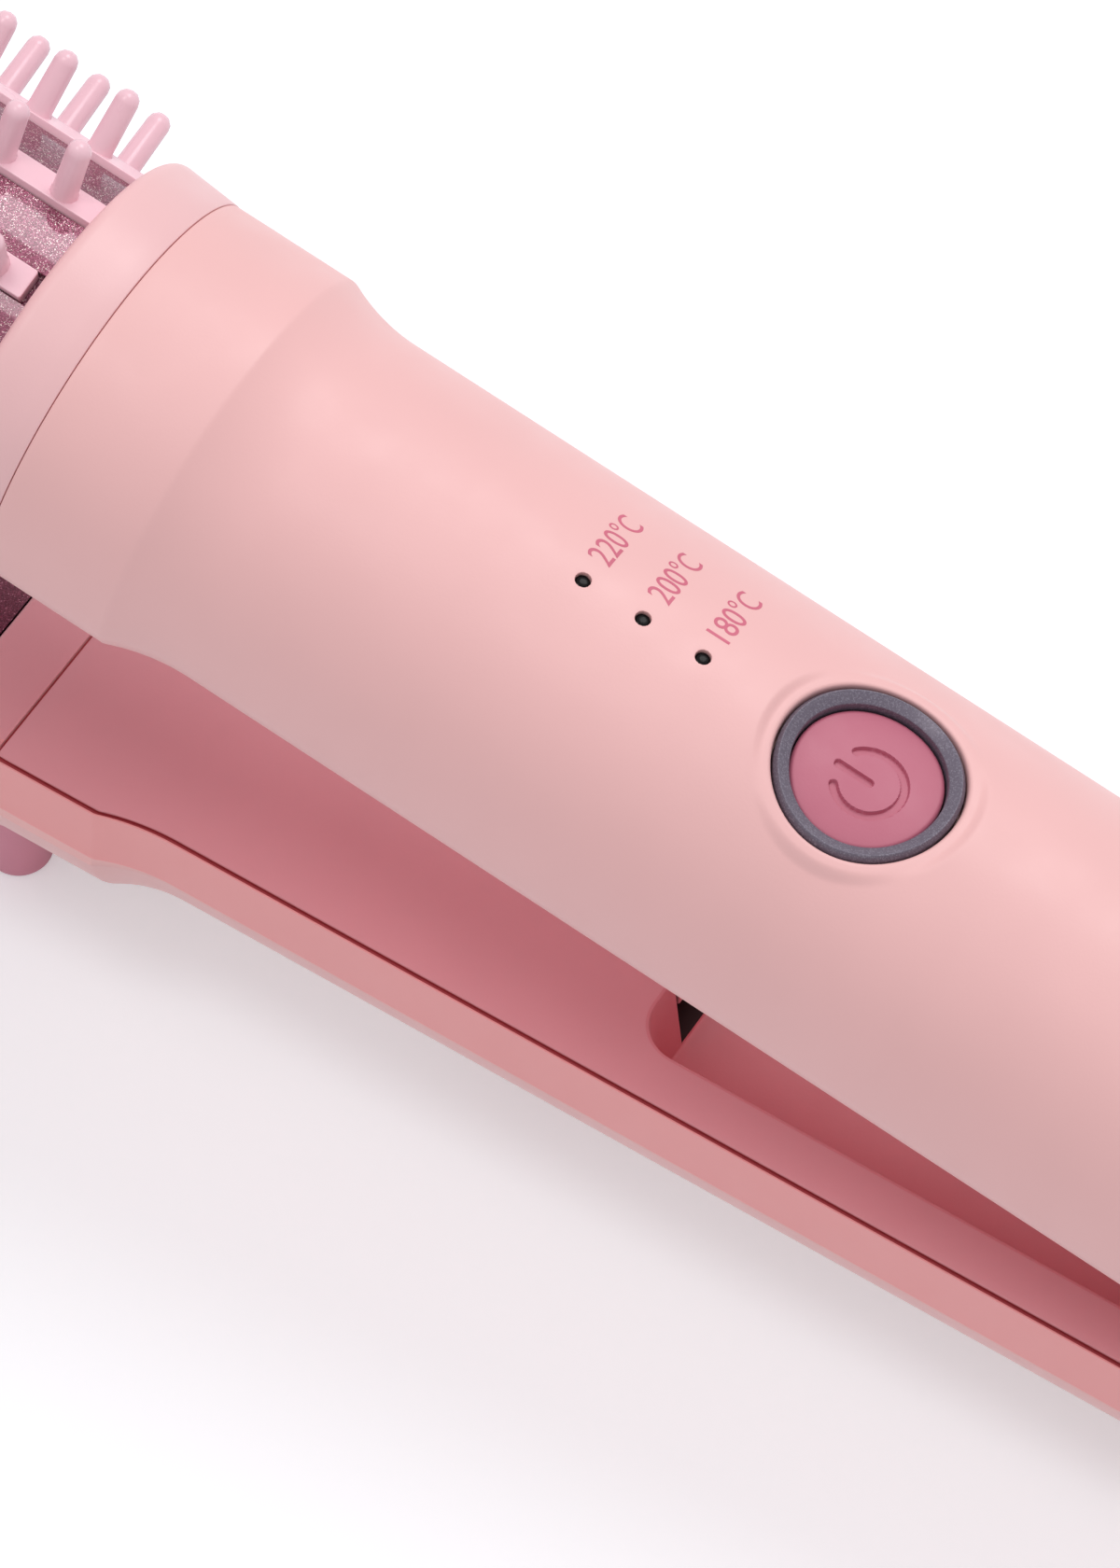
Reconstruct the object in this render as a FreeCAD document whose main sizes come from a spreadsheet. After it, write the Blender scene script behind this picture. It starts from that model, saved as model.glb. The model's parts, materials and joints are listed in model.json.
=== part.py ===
import FreeCAD, Part
import math
import os
import re

import Sketcher

# Heated styling brush: two half-round arms on a sprung hinge at the tail.
# Every piece is drawn as on the upper arm, shut: the hinge axis runs along Y through the origin,
# the barrel points to -X, and the arms meet in the joint plane z = 0. Pieces of the lower arm are
# turned over about X. The lower arm is then tilted onto its feet and the upper arm swung open.

SIZES = {
    # pose at rest
    "open_angle": (9.0, "opening of the arms, degrees"),
    "rest_tilt": (2.0, "tilt of the lower arm on its feet, degrees"),
    # handle shells
    "handle_radius": (18.0, "outer radius of the handle"),
    "bell_flare": (2.0, "ridge of the bell above the handle"),
    "shell_wall": (2.0, "wall of the shells"),
    "edge_gap": (3.0, "shell edge above the joint plane"),
    "rim_inset": (1.6, "inward lean of the rim below that edge"),
    "ridge_reach": (185.0, "hinge axis to the bell's ridge"),
    "neck_length": (6.5, "hollow neck between ridge and handle"),
    "bell_length": (11.6, "ridge to the collar's parting line"),
    "seam_gap": (0.15, "parting gap between fixed pieces"),
    "swing_gap": (4.4, "gap behind the upper shell with the arms shut"),
    # collars, barrels and tip caps
    "collar_length": (6.7, "visible length of a collar"),
    "collar_step": (0.05, "collar below the bell"),
    "collar_wall": (2.15, "wall of a collar"),
    "barrel_step": (2.35, "barrel below the collar"),
    "barrel_wall": (1.9, "wall of the barrel"),
    "barrel_length": (112.0, "barrel between collar and tip cap"),
    "barrel_tuck": (4.0, "barrel inside the collar"),
    "tip_length": (10.0, "length of a tip cap"),
    "tip_round": (8.0, "rounding of a tip cap"),
    # bristle rails
    "rail_step": (30.0, "angle between neighbouring rails, degrees"),
    "rail_width": (2.9, "width of a rail"),
    "rail_rise": (0.25, "rail above the barrel's surface"),
    "groove_width": (3.2, "width of a rail's groove"),
    "groove_depth": (1.1, "depth of a rail's groove"),
    "bristle_pitch": (6.35, "spacing of bristles along a rail"),
    "bristle_height": (6.4, "bristle above its rail"),
    "bristle_base": (1.2, "radius of a bristle at its foot"),
    "bristle_tip": (0.97, "radius of a bristle at its tip"),
    "first_bristle": (3.9, "collar to the first bristle"),
    "row_stagger": (0.65, "shift of a row of bristles against the next"),
    # heated plates
    "plate_gap": (0.6, "plate face to the joint plane"),
    "plate_inset": (2.6, "side of a plate inside the barrel's radius"),
    "plate_sheet": (1.8, "sheet of a plate"),
    "plate_flange": (2.6, "side flange above a plate's sheet"),
    "heater_half_width": (6.0, "half width of a heating element"),
    "heater_height": (2.4, "height of a heating element"),
    "heater_margin": (6.0, "plate beyond the heating element"),
    "clip_height": (1.6, "height of the clip on a heating element"),
    "clip_overhang": (1.0, "clip beyond the element at each side"),
    "sensor_radius": (1.2, "radius of a thermal sensor"),
    "sensor_length": (9.0, "length of a thermal sensor"),
    "sensor_gap": (0.3, "thermal sensor from the clip"),
    # inner covers
    "cover_drop": (0.3, "cover face to the joint plane"),
    "cover_sheet": (1.8, "sheet of a cover"),
    "tray_setback": (52.5, "ridge to the front of the tray"),
    "tray_tail": (70.5, "hinge axis to the back of the tray"),
    "tray_inset": (6.6, "side of the tray inside the handle's radius"),
    "tray_depth": (9.9, "depth of the tray"),
    "tray_corner": (4.0, "corner radius of the tray"),
    "tray_wall": (1.6, "wall of the tray"),
    "tray_play": (0.8, "play of the upper hump in the tray"),
    "hump_drop": (6.0, "joint plane to the bottom of the hump"),
    # closing lock
    "window_half_width": (4.4, "half width of the lock window"),
    "tongue_half_width": (3.8, "half width of the lock tongue"),
    "tongue_height": (2.4, "height of the lock tongue"),
    "tongue_drop": (2.5, "joint plane to the lock tongue"),
    "carriage_depth": (6.0, "height of the lock's carriage"),
    "lock_travel": (4.0, "travel of the lock"),
    "lock_play": (0.4, "play around the lock"),
    "stem_length": (6.0, "length of the lock's stem"),
    "stem_half_width": (2.5, "half width of the lock's stem"),
    "pad_half_width": (5.5, "half width of the thumb pad"),
    "pad_length": (14.0, "length of the thumb pad"),
    "pad_height": (2.0, "height of the thumb pad"),
    "pad_round": (2.0, "corner radius of the thumb pad"),
    # button and pilot lights
    "button_setback": (62.3, "ridge to the button"),
    "button_radius": (6.55, "radius of the button"),
    "button_fit": (0.07, "radial play of the button in its ring"),
    "button_travel": (0.6, "travel of the button"),
    "button_recess": (1.0, "button face below the ring"),
    "button_depth": (2.6, "height of the button's head"),
    "stem_radius": (1.6, "radius of the button's stem"),
    "ring_radius": (7.95, "outer radius of the button's ring"),
    "ring_proud": (0.15, "ring above its seat"),
    "seat_hole": (8.33, "radius of the hole in the seat"),
    "seat_radius": (9.6, "radius of the flat seat"),
    "seat_drop": (1.0, "seat below the crest of the shell"),
    "seat_depth": (2.4, "seat to the ledge that carries the ring"),
    "ledge_width": (1.1, "width of that ledge"),
    "ledge_sheet": (1.6, "thickness of that ledge"),
    "pilot_ahead": (16.8, "button to the nearest light pipe"),
    "pilot_step": (6.0, "spacing of the light pipes"),
    "pilot_hole": (0.72, "radius of a light pipe's hole"),
    "pilot_fit": (0.05, "radial play of a light pipe"),
    "pilot_recess": (0.35, "light pipe below the shell's surface"),
    "pilot_air": (0.3, "light pipe to its lamp"),
    # circuit board
    "board_margin": (8.5, "furthest light pipe to the front of the board"),
    "board_length": (62.0, "length of the board"),
    "board_half_width": (9.0, "half width of the board"),
    "board_drop": (12.0, "crest of the shell to the board"),
    "board_sheet": (1.6, "thickness of the board"),
    "lamp_height": (1.2, "height of an indicator lamp"),
    "lamp_side": (2.0, "side of an indicator lamp"),
    "switch_side": (6.0, "side of the push switch"),
    "switch_height": (3.6, "height of the push switch"),
    "plunger_radius": (1.7, "radius of the switch's plunger"),
    "plunger_air": (0.1, "stem to the plunger at full travel"),
    "post_radius": (2.3, "radius of the board's posts"),
    "post_inset": (4.0, "posts from the ends of the board"),
    # screws
    "screw_radius": (1.0, "radius of a screw's shank"),
    "head_radius": (2.0, "radius of a screw's head"),
    "head_height": (1.0, "height of a screw's head"),
    "shank_length": (6.0, "length of a screw's shank"),
    "boss_radius": (2.6, "radius of a screw boss"),
    "boss_reach": (42.0, "hinge axis to the cover screws"),
    "boss_offset": (8.0, "cover screws from the middle"),
    # heater leads
    "lead_radius": (0.8, "radius of a heater lead"),
    "lead_gap": (0.6, "lower heater leads from the tray"),
    "lead_offset": (4.2, "lower heater leads from the middle"),
    "feed_offset": (6.5, "upper heater leads from the middle"),
    "terminal_length": (5.0, "length of a terminal block"),
    "terminal_skin": (1.0, "terminal block around its leads"),
    # tail and hinge
    "tail_front": (10.0, "hinge axis to the front of the tail"),
    "tail_straight": (8.0, "hinge axis to the tail's rounding"),
    "tail_flat": (6.0, "flat part of the tail's end"),
    "ear_sheet": (2.4, "thickness of a hinge ear"),
    "ear_reach": (7.0, "half length of a hinge ear"),
    "ear_rise": (6.0, "ear above the hinge axis"),
    "pin_radius": (2.0, "radius of the hinge pin"),
    "pin_fit": (0.06, "radial play of the knuckle on the pin"),
    "pin_end": (1.2, "pin beyond an ear"),
    "retainer_radius": (3.6, "radius of a pin retainer"),
    "retainer_sheet": (0.8, "thickness of a pin retainer"),
    "knuckle_radius": (5.2, "radius of the knuckle"),
    "knuckle_half_width": (3.0, "half width of the knuckle"),
    # hinge spring
    "coil_radius": (3.4, "mean radius of the coil"),
    "coil_inner_gap": (0.8, "upper end of the coil from the knuckle"),
    "coil_outer_gap": (1.2, "lower end of the coil from an ear"),
    "coil_gap": (0.55, "gap between turns"),
    "coil_turns": (2.0, "whole turns before the last half turn"),
    "wire_radius": (0.4, "radius of the wire"),
    "leg_length": (12.0, "length of a leg"),
    "leg_play": (0.2, "leg to its seat"),
    "leg_seat": (1.8, "thickness of a leg's seat"),
    # cord gland
    "gland_radius": (5.0, "radius of the gland's neck"),
    "gland_fit": (0.06, "radial play of the gland in the tail"),
    "gland_bore": (3.2, "radius of the gland's bore"),
    "flange_lap": (0.9, "gland's flange beyond the flat of the tail"),
    "gland_sheet": (2.5, "thickness of the gland's flange"),
    "gland_reach": (4.0, "gland beyond the tail"),
    # feet
    "foot_radius": (3.2, "radius of a rest foot"),
    "foot_offset": (11.0, "rest foot from the middle"),
}

# Sizes that follow from the ones above.
FOLLOWING = {
    "bell_radius": ("handle_radius + bell_flare", "outer radius of the bell"),
    "collar_radius": ("bell_radius - collar_step", "outer radius of a collar"),
    "barrel_radius": ("collar_radius - barrel_step", "outer radius of the barrel"),
    "plate_half_width": ("barrel_radius - plate_inset", "half width of a plate"),
    "sensor_offset": ("heater_half_width + clip_overhang + sensor_radius + sensor_gap", "sensor's offset"),
    "tray_half_width": ("handle_radius - tray_inset", "half width of the tray"),
    "board_level": ("edge_gap + handle_radius - board_drop", "joint plane to the board"),
    "upper_lead_level": ("board_level + board_sheet / 2", "joint plane to the upper heater leads"),
    "lower_lead_level": ("cover_drop + tray_depth + tray_wall + lead_gap + lead_radius", "the same, lower"),
    "tail_round": ("handle_radius - tail_flat", "rounding of the tail"),
    "gland_flange": ("tail_flat + flange_lap", "radius of the gland's flange"),
    "coil_width": ("(coil_turns + 0.5 - open_angle / 360) * (2 * wire_radius + coil_gap)", "coil's width"),
    "coil_end": ("knuckle_half_width + coil_inner_gap", "upper leg from the middle"),
    "coil_start": ("coil_end + coil_width", "lower leg from the middle"),
    "ear_inner": ("coil_start + coil_outer_gap", "inner face of an ear from the middle"),
}

BRISTLE_ROWS = 6
STAGGER_ROWS = 3
PILOT_LIGHTS = 3
HALF_TURN = 180.0
FULL_TURN = 360.0
QUARTER_TURN = 90.0
SIDES = (-1, 1)
X_AXIS = FreeCAD.Vector(1, 0, 0)
Y_AXIS = FreeCAD.Vector(0, 1, 0)
Z_AXIS = FreeCAD.Vector(0, 0, 1)
ORIGIN = FreeCAD.Vector(0, 0, 0)

# Stations along the arm and levels above the joint plane, as expressions of the sizes.
RIDGE = "(-ridge_reach)"
PARTING = "(-ridge_reach - bell_length)"
COLLAR_FRONT = "(-ridge_reach - bell_length - collar_length)"
BARREL_END = "(-ridge_reach - bell_length - collar_length - barrel_length)"
TIP_END = "(-ridge_reach - bell_length - collar_length - barrel_length - tip_length)"
PLATE_BACK = "(-ridge_reach - bell_length - collar_length - seam_gap)"
HEATER_BACK = "(-ridge_reach - bell_length - collar_length - heater_margin)"
TERMINAL_BACK = "(-ridge_reach - bell_length - collar_length - heater_margin + terminal_length)"
HEATER_FRONT = "(-ridge_reach - bell_length - collar_length - barrel_length + heater_margin)"
UPPER_REAR = "(-tail_front - swing_gap)"
TAIL_END = "(tail_straight + tail_round)"
TRAY_FRONT = "(-ridge_reach + tray_setback)"
TRAY_BACK = "(-tray_tail)"
STEM_FRONT = "(-ridge_reach + tray_setback - pad_length)"
STEM_BACK = "(-ridge_reach + tray_setback - pad_length + stem_length)"
CARRIAGE_BACK = "(-ridge_reach + tray_setback - tray_wall - lock_travel - lock_play)"
BUTTON = "(-ridge_reach + button_setback)"
PILOT_FRONT = f"({BUTTON} - pilot_ahead - {PILOT_LIGHTS - 1} * pilot_step)"
BOARD_FRONT = f"({PILOT_FRONT} - board_margin)"
BOARD_BACK = f"({PILOT_FRONT} - board_margin + board_length)"
COVER_BACK = "(cover_drop + cover_sheet)"
TRAY_FLOOR = "(cover_drop + tray_depth)"
PLATE_TOP = "(plate_gap + plate_sheet)"
HEATER_TOP = "(plate_gap + plate_sheet + heater_height)"
CREST = "(edge_gap + handle_radius)"
SEAT_TOP = "(edge_gap + handle_radius - seat_drop)"
LEDGE_TOP = "(edge_gap + handle_radius - seat_drop - seat_depth)"
RING_TOP = "(edge_gap + handle_radius - seat_drop + ring_proud)"
BOARD_TOP = "(board_level + board_sheet)"
PLUNGER_TOP = "(board_level + board_sheet + switch_height)"
LEG_SEAT = "(coil_radius + wire_radius + leg_play)"
CARRIAGE_TOP = "(cover_drop + cover_sheet + lock_play)"

# Where the hinge axis lies when the tail's rounding and the feet stand on the surface z = 0
# and the whole part is centred on the origin.
TILT = "(rest_tilt * 1 deg)"
HINGE_Z = (f"(tail_round + tail_straight * sin({TILT})"
           f" + (edge_gap + handle_radius - tail_round) * cos({TILT}))")
FRONT_X = (f"(({TIP_END} + tip_round) * cos({TILT})"
           f" - (edge_gap + barrel_radius - tip_round) * sin({TILT}) - tip_round)")
BACK_X = f"(({TAIL_END} + gland_reach) * cos({TILT}) + gland_radius * sin({TILT}))"
HINGE_X = f"(-({FRONT_X} + {BACK_X}) / 2)"

doc = FreeCAD.newDocument("heated_styling_brush")
sheet = doc.addObject("Spreadsheet::Sheet", "Sizes")
parts = []


def fill_sheet():
    formulas = {alias: ("=" + formula, note) for alias, (formula, note) in FOLLOWING.items()}
    for row, (alias, (entry, note)) in enumerate({**SIZES, **formulas}.items(), start=1):
        sheet.set(f"A{row}", note)
        sheet.setAlias(f"B{row}", alias)
        sheet.set(f"B{row}", str(entry))
    doc.recompute()


def bound(text):
    # The same expression for another object, with the sheet named in front of every size.
    return re.sub(r"[a-z]+(?:_[a-z]+)+", lambda word: "Sizes." + word.group(0), str(text))


def size(text):
    return float(sheet.evalExpression(str(text)))


def bind(item, **expressions):
    for name, text in expressions.items():
        item.setExpression(name, bound(text))


def put(item, place):
    for axis, text in zip("xyz", place):
        item.setExpression(f"Placement.Base.{axis}", bound(text))
    return item


def arm_placement(arm, lift):
    # lift moves a piece that is drawn about the barrel's axis off the joint plane.
    angle = size("rest_tilt + open_angle") if arm == "upper" else size("rest_tilt")
    hinge = FreeCAD.Vector(size(HINGE_X), 0, size(HINGE_Z))
    swung = FreeCAD.Placement(hinge, FreeCAD.Rotation(Y_AXIS, angle))
    over = FreeCAD.Placement(ORIGIN, FreeCAD.Rotation(X_AXIS, HALF_TURN if arm == "lower" else 0))
    raised = FreeCAD.Placement(FreeCAD.Vector(0, 0, size(lift)), FreeCAD.Rotation())
    return swung * over * raised


def keep(item, label, arm, lift="0"):
    item.Label = label
    item.Placement = arm_placement(arm, lift)
    parts.append(item)


def keep_shape(shape, label, arm, lift="0"):
    item = doc.addObject("Part::Feature", label)
    item.Shape = shape.removeSplitter()
    keep(item, label, arm, lift)


def block(x, y, z):
    item = doc.addObject("Part::Box", "block")
    bind(item, Length=f"({x[1]}) - ({x[0]})", Width=f"({y[1]}) - ({y[0]})", Height=f"({z[1]}) - ({z[0]})")
    return put(item, (x[0], y[0], z[0]))


def rod(radius, length, place, along=Z_AXIS):
    item = doc.addObject("Part::Cylinder", "rod")
    bind(item, Radius=radius, Height=length)
    item.Placement = FreeCAD.Placement(ORIGIN, FreeCAD.Rotation(Z_AXIS, along))
    return put(item, place)


def fused(*items):
    item = doc.addObject("Part::MultiFuse", "joined")
    item.Shapes = list(items)
    item.Refine = True
    return item


def cut(base, *tools):
    item = doc.addObject("Part::Cut", "cut")
    item.Base = base
    item.Tool = tools[0] if len(tools) == 1 else fused(*tools)
    item.Refine = True
    return item


def group(*items):
    item = doc.addObject("Part::Compound", "group")
    item.Links = list(items)
    return item


def across(half_width):
    return (f"-({half_width})", f"{half_width}")


def sketch(body, name, role, outlines, start="0"):
    # Closed outlines on an origin plane. A corner is (x, y); one that an arc leads to also has
    # the arc's centre and the side it turns to.
    item = body.newObject("Sketcher::SketchObject", name)
    plane = [feature for feature in body.Origin.OriginFeatures if feature.Role == role][0]
    item.AttachmentSupport = [(plane, "")]
    item.MapMode = "FlatFace"
    item.setExpression("AttachmentOffset.Base.z", bound(start))
    for corners in outlines:
        first = item.GeometryCount
        points = [FreeCAD.Vector(size(corner[0]), size(corner[1]), 0) for corner in corners]
        ends = []
        for index, corner in enumerate(corners):
            edge, order = outline_edge(points[index - 1], points[index], corner)
            item.addGeometry(edge, False)
            ends.append(order)
        for index, corner in enumerate(corners):
            after = (index + 1) % len(corners)
            item.addConstraint(Sketcher.Constraint(
                "Coincident", first + index, ends[index][1], first + after, ends[after][0]))
            pin_down(item, first + index, ends[index][1], "DistanceX", corner[0])
            pin_down(item, first + index, ends[index][1], "DistanceY", corner[1])
            if len(corner) > 2:
                level = corner[1] == corners[index - 1][1]
                pin_down(item, first + index, 3, "DistanceY" if level else "DistanceX", corner[2][level])
    doc.recompute()
    return item


def outline_edge(start, end, corner):
    # The edge that leads to a corner, and which of its ends comes first.
    if len(corner) == 2:
        return Part.LineSegment(start, end), (1, 2)
    centre = FreeCAD.Vector(size(corner[2][0]), size(corner[2][1]), 0)
    left = corner[3] == "left"
    low, high = (start, end) if left else (end, start)
    angles = [math.atan2(point.y - centre.y, point.x - centre.x) for point in (low, high)]
    if angles[1] <= angles[0]:
        angles[1] += math.radians(FULL_TURN)
    circle = Part.Circle(centre, Z_AXIS, (start - centre).Length)
    return Part.ArcOfCircle(circle, *angles), (1, 2) if left else (2, 1)


def pin_down(item, edge, point, kind, text):
    number = item.addConstraint(Sketcher.Constraint(kind, -1, 1, edge, point, size(text)))
    item.setExpression(f"Constraints[{number}]", bound(text))


def turned(name, outline, angle):
    # A body turned about its X axis from an outline of (x, radius).
    body = doc.addObject("PartDesign::Body", name)
    profile = sketch(body, name + "_profile", "XY_Plane", [outline])
    turn = body.newObject("PartDesign::Revolution", name + "_turn")
    turn.Profile = profile
    turn.ReferenceAxis = (profile, ["H_Axis"])
    turn.Angle = angle
    doc.recompute()
    return body


def drawn(name, outlines, start, length):
    # A body padded along X from outlines of (y, z).
    body = doc.addObject("PartDesign::Body", name)
    profile = sketch(body, name + "_profile", "YZ_Plane", outlines, start)
    pad = body.newObject("PartDesign::Pad", name + "_pad")
    pad.Profile = profile
    bind(pad, Length=length)
    doc.recompute()
    return body


def solid_box(x, y, z):
    low = FreeCAD.Vector(size(x[0]), size(y[0]), size(z[0]))
    spans = [size(f"({pair[1]}) - ({pair[0]})") for pair in (x, y, z)]
    return Part.makeBox(*spans, low)


def solid_rod(radius, length, place, along=Z_AXIS):
    spot = FreeCAD.Vector(*[size(text) for text in place])
    return Part.makeCylinder(size(radius), size(length), spot, along)


def rounded_box(x, half_width, z, corner):
    solid = solid_box(x, across(half_width), z)
    upright = [edge for edge in solid.Edges if abs(edge.tangentAt(edge.FirstParameter).z) > 0.5]
    return solid.makeFillet(size(corner), upright)


def shell_line(rear, inset, level, side=1):
    # Plan line of bell, hollow neck and handle, moved towards the middle by inset.
    rise, run = size("bell_flare"), size("neck_length")
    hollow = (run ** 2 + rise ** 2) / (2 * rise)
    neck_end = size(RIDGE) + run
    half = math.atan2(run, hollow - rise) / 2
    middle = (neck_end - hollow * math.sin(half), size("handle_radius") + hollow * (1 - math.cos(half)))
    spots = [(size(PARTING), size("bell_radius")), (size(RIDGE), size("bell_radius")), middle,
             (neck_end, size("handle_radius")), (size(rear), size("handle_radius"))]
    start, ridge, mid, neck, end = [FreeCAD.Vector(x, side * (y - inset), level) for x, y in spots]
    return [Part.LineSegment(start, ridge).toShape(), Part.Arc(ridge, mid, neck).toShape(),
            Part.LineSegment(neck, end).toShape()]


def closed_outline(one, other):
    front = Part.LineSegment(one[0].Vertexes[0].Point, other[0].Vertexes[0].Point).toShape()
    back = Part.LineSegment(one[-1].Vertexes[-1].Point, other[-1].Vertexes[-1].Point).toShape()
    return Part.Wire(Part.__sortEdges__(one + [back] + other + [front]))


def half_shell(rear):
    # Half-round wall with a rim on each side that leans in to the joint plane.
    edge, wall = size("edge_gap"), size("shell_wall")
    strip = closed_outline(shell_line(rear, 0, edge), shell_line(rear, wall, edge))
    brim = closed_outline(shell_line(rear, size("rim_inset"), 0), shell_line(rear, wall, 0))
    arch = Part.Face(strip).revolve(FreeCAD.Vector(0, 0, edge), X_AXIS, HALF_TURN)
    rim = Part.makeLoft([brim, strip], True, True)
    shell = arch.fuse([rim, rim.mirror(ORIGIN, Y_AXIS)])
    for spot in screw_spots():
        shell = with_boss(shell, spot)
    return shell


def screw_spots():
    return [("-boss_reach", f"{side} * boss_offset") for side in SIDES]


def with_boss(shell, spot):
    # Screw boss from the cover to the shell, with its thread hole.
    level = COVER_BACK + " + seam_gap"
    post = solid_rod("boss_radius", f"{CREST} - {COVER_BACK}", (*spot, level))
    inside = solid_rod("handle_radius - shell_wall / 2", "ridge_reach", (RIDGE, "0", "edge_gap"), X_AXIS)
    below = solid_box(("-ridge_reach", "0"), across("boss_offset + boss_radius"), ("0", "edge_gap"))
    hole = solid_rod("screw_radius", "shank_length", (*spot, level))
    return shell.fuse(post.common(inside.fuse(below))).cut(hole)


def upper_shell():
    shell = half_shell(UPPER_REAR)
    middle = (BUTTON, "0")
    base = (*middle, LEDGE_TOP + " - ledge_sheet")
    seat = solid_rod("seat_radius", "seat_depth + ledge_sheet", base)
    above = solid_rod("seat_radius", "2 * seat_drop", (*middle, SEAT_TOP))
    hole = solid_rod("seat_hole", "seat_depth + seat_drop", (*middle, LEDGE_TOP))
    throat = solid_rod("seat_hole - ledge_width", "seat_depth + ledge_sheet", base)
    shell = shell.fuse(seat).cut([above, hole, throat])
    for index in range(PILOT_LIGHTS):
        place = (f"{PILOT_FRONT} + {index} * pilot_step", "0", CREST + " - 2 * shell_wall")
        shell = shell.cut(solid_rod("pilot_hole", "3 * shell_wall", place))
    keep_shape(shell, "upper_shell", "upper")


def lower_shell():
    slot = solid_box((STEM_FRONT + " - lock_play", STEM_BACK + " + lock_travel + lock_play"),
                     across("stem_half_width + lock_play"),
                     (CREST + " - 2 * shell_wall", CREST + " + shell_wall"))
    keep_shape(half_shell("-tail_front - seam_gap").cut(slot), "lower_shell", "lower")


def cover_plate(rear):
    inset, level = size("shell_wall + seam_gap"), size("cover_drop")
    outline = closed_outline(shell_line(rear, inset, level), shell_line(rear, inset, level, -1))
    cover = Part.Face(outline).extrude(FreeCAD.Vector(0, 0, size("cover_sheet")))
    for spot in screw_spots():
        hole = solid_rod("screw_radius + seam_gap", "2 * cover_sheet", (*spot, "0"))
        sink = solid_rod("head_radius + seam_gap", "head_height + cover_drop", (*spot, "0"))
        cover = cover.cut([hole, sink])
    return cover


def cover_screws(arm):
    screws = []
    for spot in screw_spots():
        head = rod("head_radius", "head_height", (*spot, "cover_drop"))
        shank = rod("screw_radius", "shank_length", (*spot, "cover_drop + head_height"))
        screws.append(fused(head, shank))
    keep(group(*screws), f"{arm}_cover_screws", arm)


def post_spots():
    stations = (BOARD_FRONT + " + post_inset", BOARD_BACK + " - post_inset")
    return [(x, f"{side} * (board_half_width - post_radius)") for x in stations for side in SIDES]


def upper_cover():
    # Cover with the hump that dips into the tray, the board's posts, and the hinge's knuckle.
    front, back = TRAY_FRONT + " + tray_play", TRAY_BACK + " - tray_play"
    half, bottom = "tray_half_width - tray_play", "-hump_drop"
    hump = rounded_box((front, back), half, (bottom, COVER_BACK), "tray_corner - tray_play")
    hollow = rounded_box((front + " + tray_wall", back + " - tray_wall"), half + " - tray_wall",
                         (bottom + " + tray_wall", COVER_BACK + " + tray_wall"),
                         "tray_corner - tray_play - tray_wall")
    catch = solid_box((front + " - tray_wall", front + " + 2 * tray_wall"),
                      across("tongue_half_width + lock_play"),
                      ("-tongue_drop - tongue_height - lock_play", "-tongue_drop + lock_play"))
    cover = cover_plate(UPPER_REAR).fuse(hump).cut([hollow, catch])
    rear_wall = back + " - tray_wall - post_radius"
    for spot in post_spots():
        over_hump = size(front) < size(spot[0]) < size(rear_wall)
        level = bottom if over_hump else "cover_drop"
        post = solid_rod("post_radius", f"board_level - ({level})", (*spot, level))
        depth = "shank_length - board_sheet"
        hole = solid_rod("screw_radius", depth, (*spot, f"board_level - ({depth})"))
        cover = cover.fuse(post).cut(hole)
    width = across("knuckle_half_width")
    tongue = solid_box((UPPER_REAR + " - tray_wall", "0"), width, ("cover_drop", COVER_BACK))
    knuckle = solid_rod("knuckle_radius", "2 * knuckle_half_width", ("0", width[0], "0"), Y_AXIS)
    eye = solid_rod("pin_radius + pin_fit", "2 * knuckle_half_width", ("0", width[0], "0"), Y_AXIS)
    outside = "coil_end + 2 * wire_radius"
    web = solid_box((UPPER_REAR + " - tray_wall", "-leg_length - wire_radius"), ("0", outside),
                    ("cover_drop", LEG_SEAT + " + leg_seat"))
    shelf = solid_box(("-leg_length - 2 * wire_radius", "-leg_length / 2"),
                      ("coil_end - 4 * wire_radius", outside), (LEG_SEAT, LEG_SEAT + " + leg_seat"))
    keep_shape(cover.fuse([tongue, knuckle, web, shelf]).cut(eye), "upper_cover", "upper")


def lower_cover():
    # Cover with the tray, and the lock window in the tray's front wall.
    tub = rounded_box((TRAY_FRONT + " - tray_wall", TRAY_BACK + " + tray_wall"),
                      "tray_half_width + tray_wall",
                      ("cover_drop", TRAY_FLOOR + " + tray_wall"), "tray_corner + tray_wall")
    hollow = rounded_box((TRAY_FRONT, TRAY_BACK), "tray_half_width", ("0", TRAY_FLOOR), "tray_corner")
    window = solid_box((TRAY_FRONT + " - 2 * tray_wall", TRAY_FRONT + " + tray_wall"),
                       across("window_half_width"), (COVER_BACK, TRAY_FLOOR + " - lock_play"))
    cover = cover_plate("-tail_front - swing_gap / 2").fuse(tub).cut([hollow, window])
    keep_shape(cover, "lower_cover", "lower")


def lock():
    # Carriage with the tongue that shows in the window, its stem, and the thumb pad outside.
    carriage = block((STEM_FRONT + " - lock_play", CARRIAGE_BACK), across("tongue_half_width"),
                     (CARRIAGE_TOP, CARRIAGE_TOP + " + carriage_depth"))
    tongue = block((STEM_BACK, TRAY_FRONT + " - tray_wall / 2"), across("tongue_half_width"),
                   ("tongue_drop", "tongue_drop + tongue_height"))
    stem = block((STEM_FRONT, STEM_BACK), across("stem_half_width"), (CARRIAGE_TOP, CREST + " + lock_play"))
    keep(fused(carriage, tongue, stem), "lock_slider", "lower")
    front = f"{STEM_FRONT} + stem_length / 2 - pad_length / 2"
    pad = rounded_box((front, front + " + pad_length"), "pad_half_width",
                      (CREST + " + lock_play", CREST + " + lock_play + pad_height"), "pad_round")
    keep_shape(pad, "lock_pad", "lower")


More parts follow.
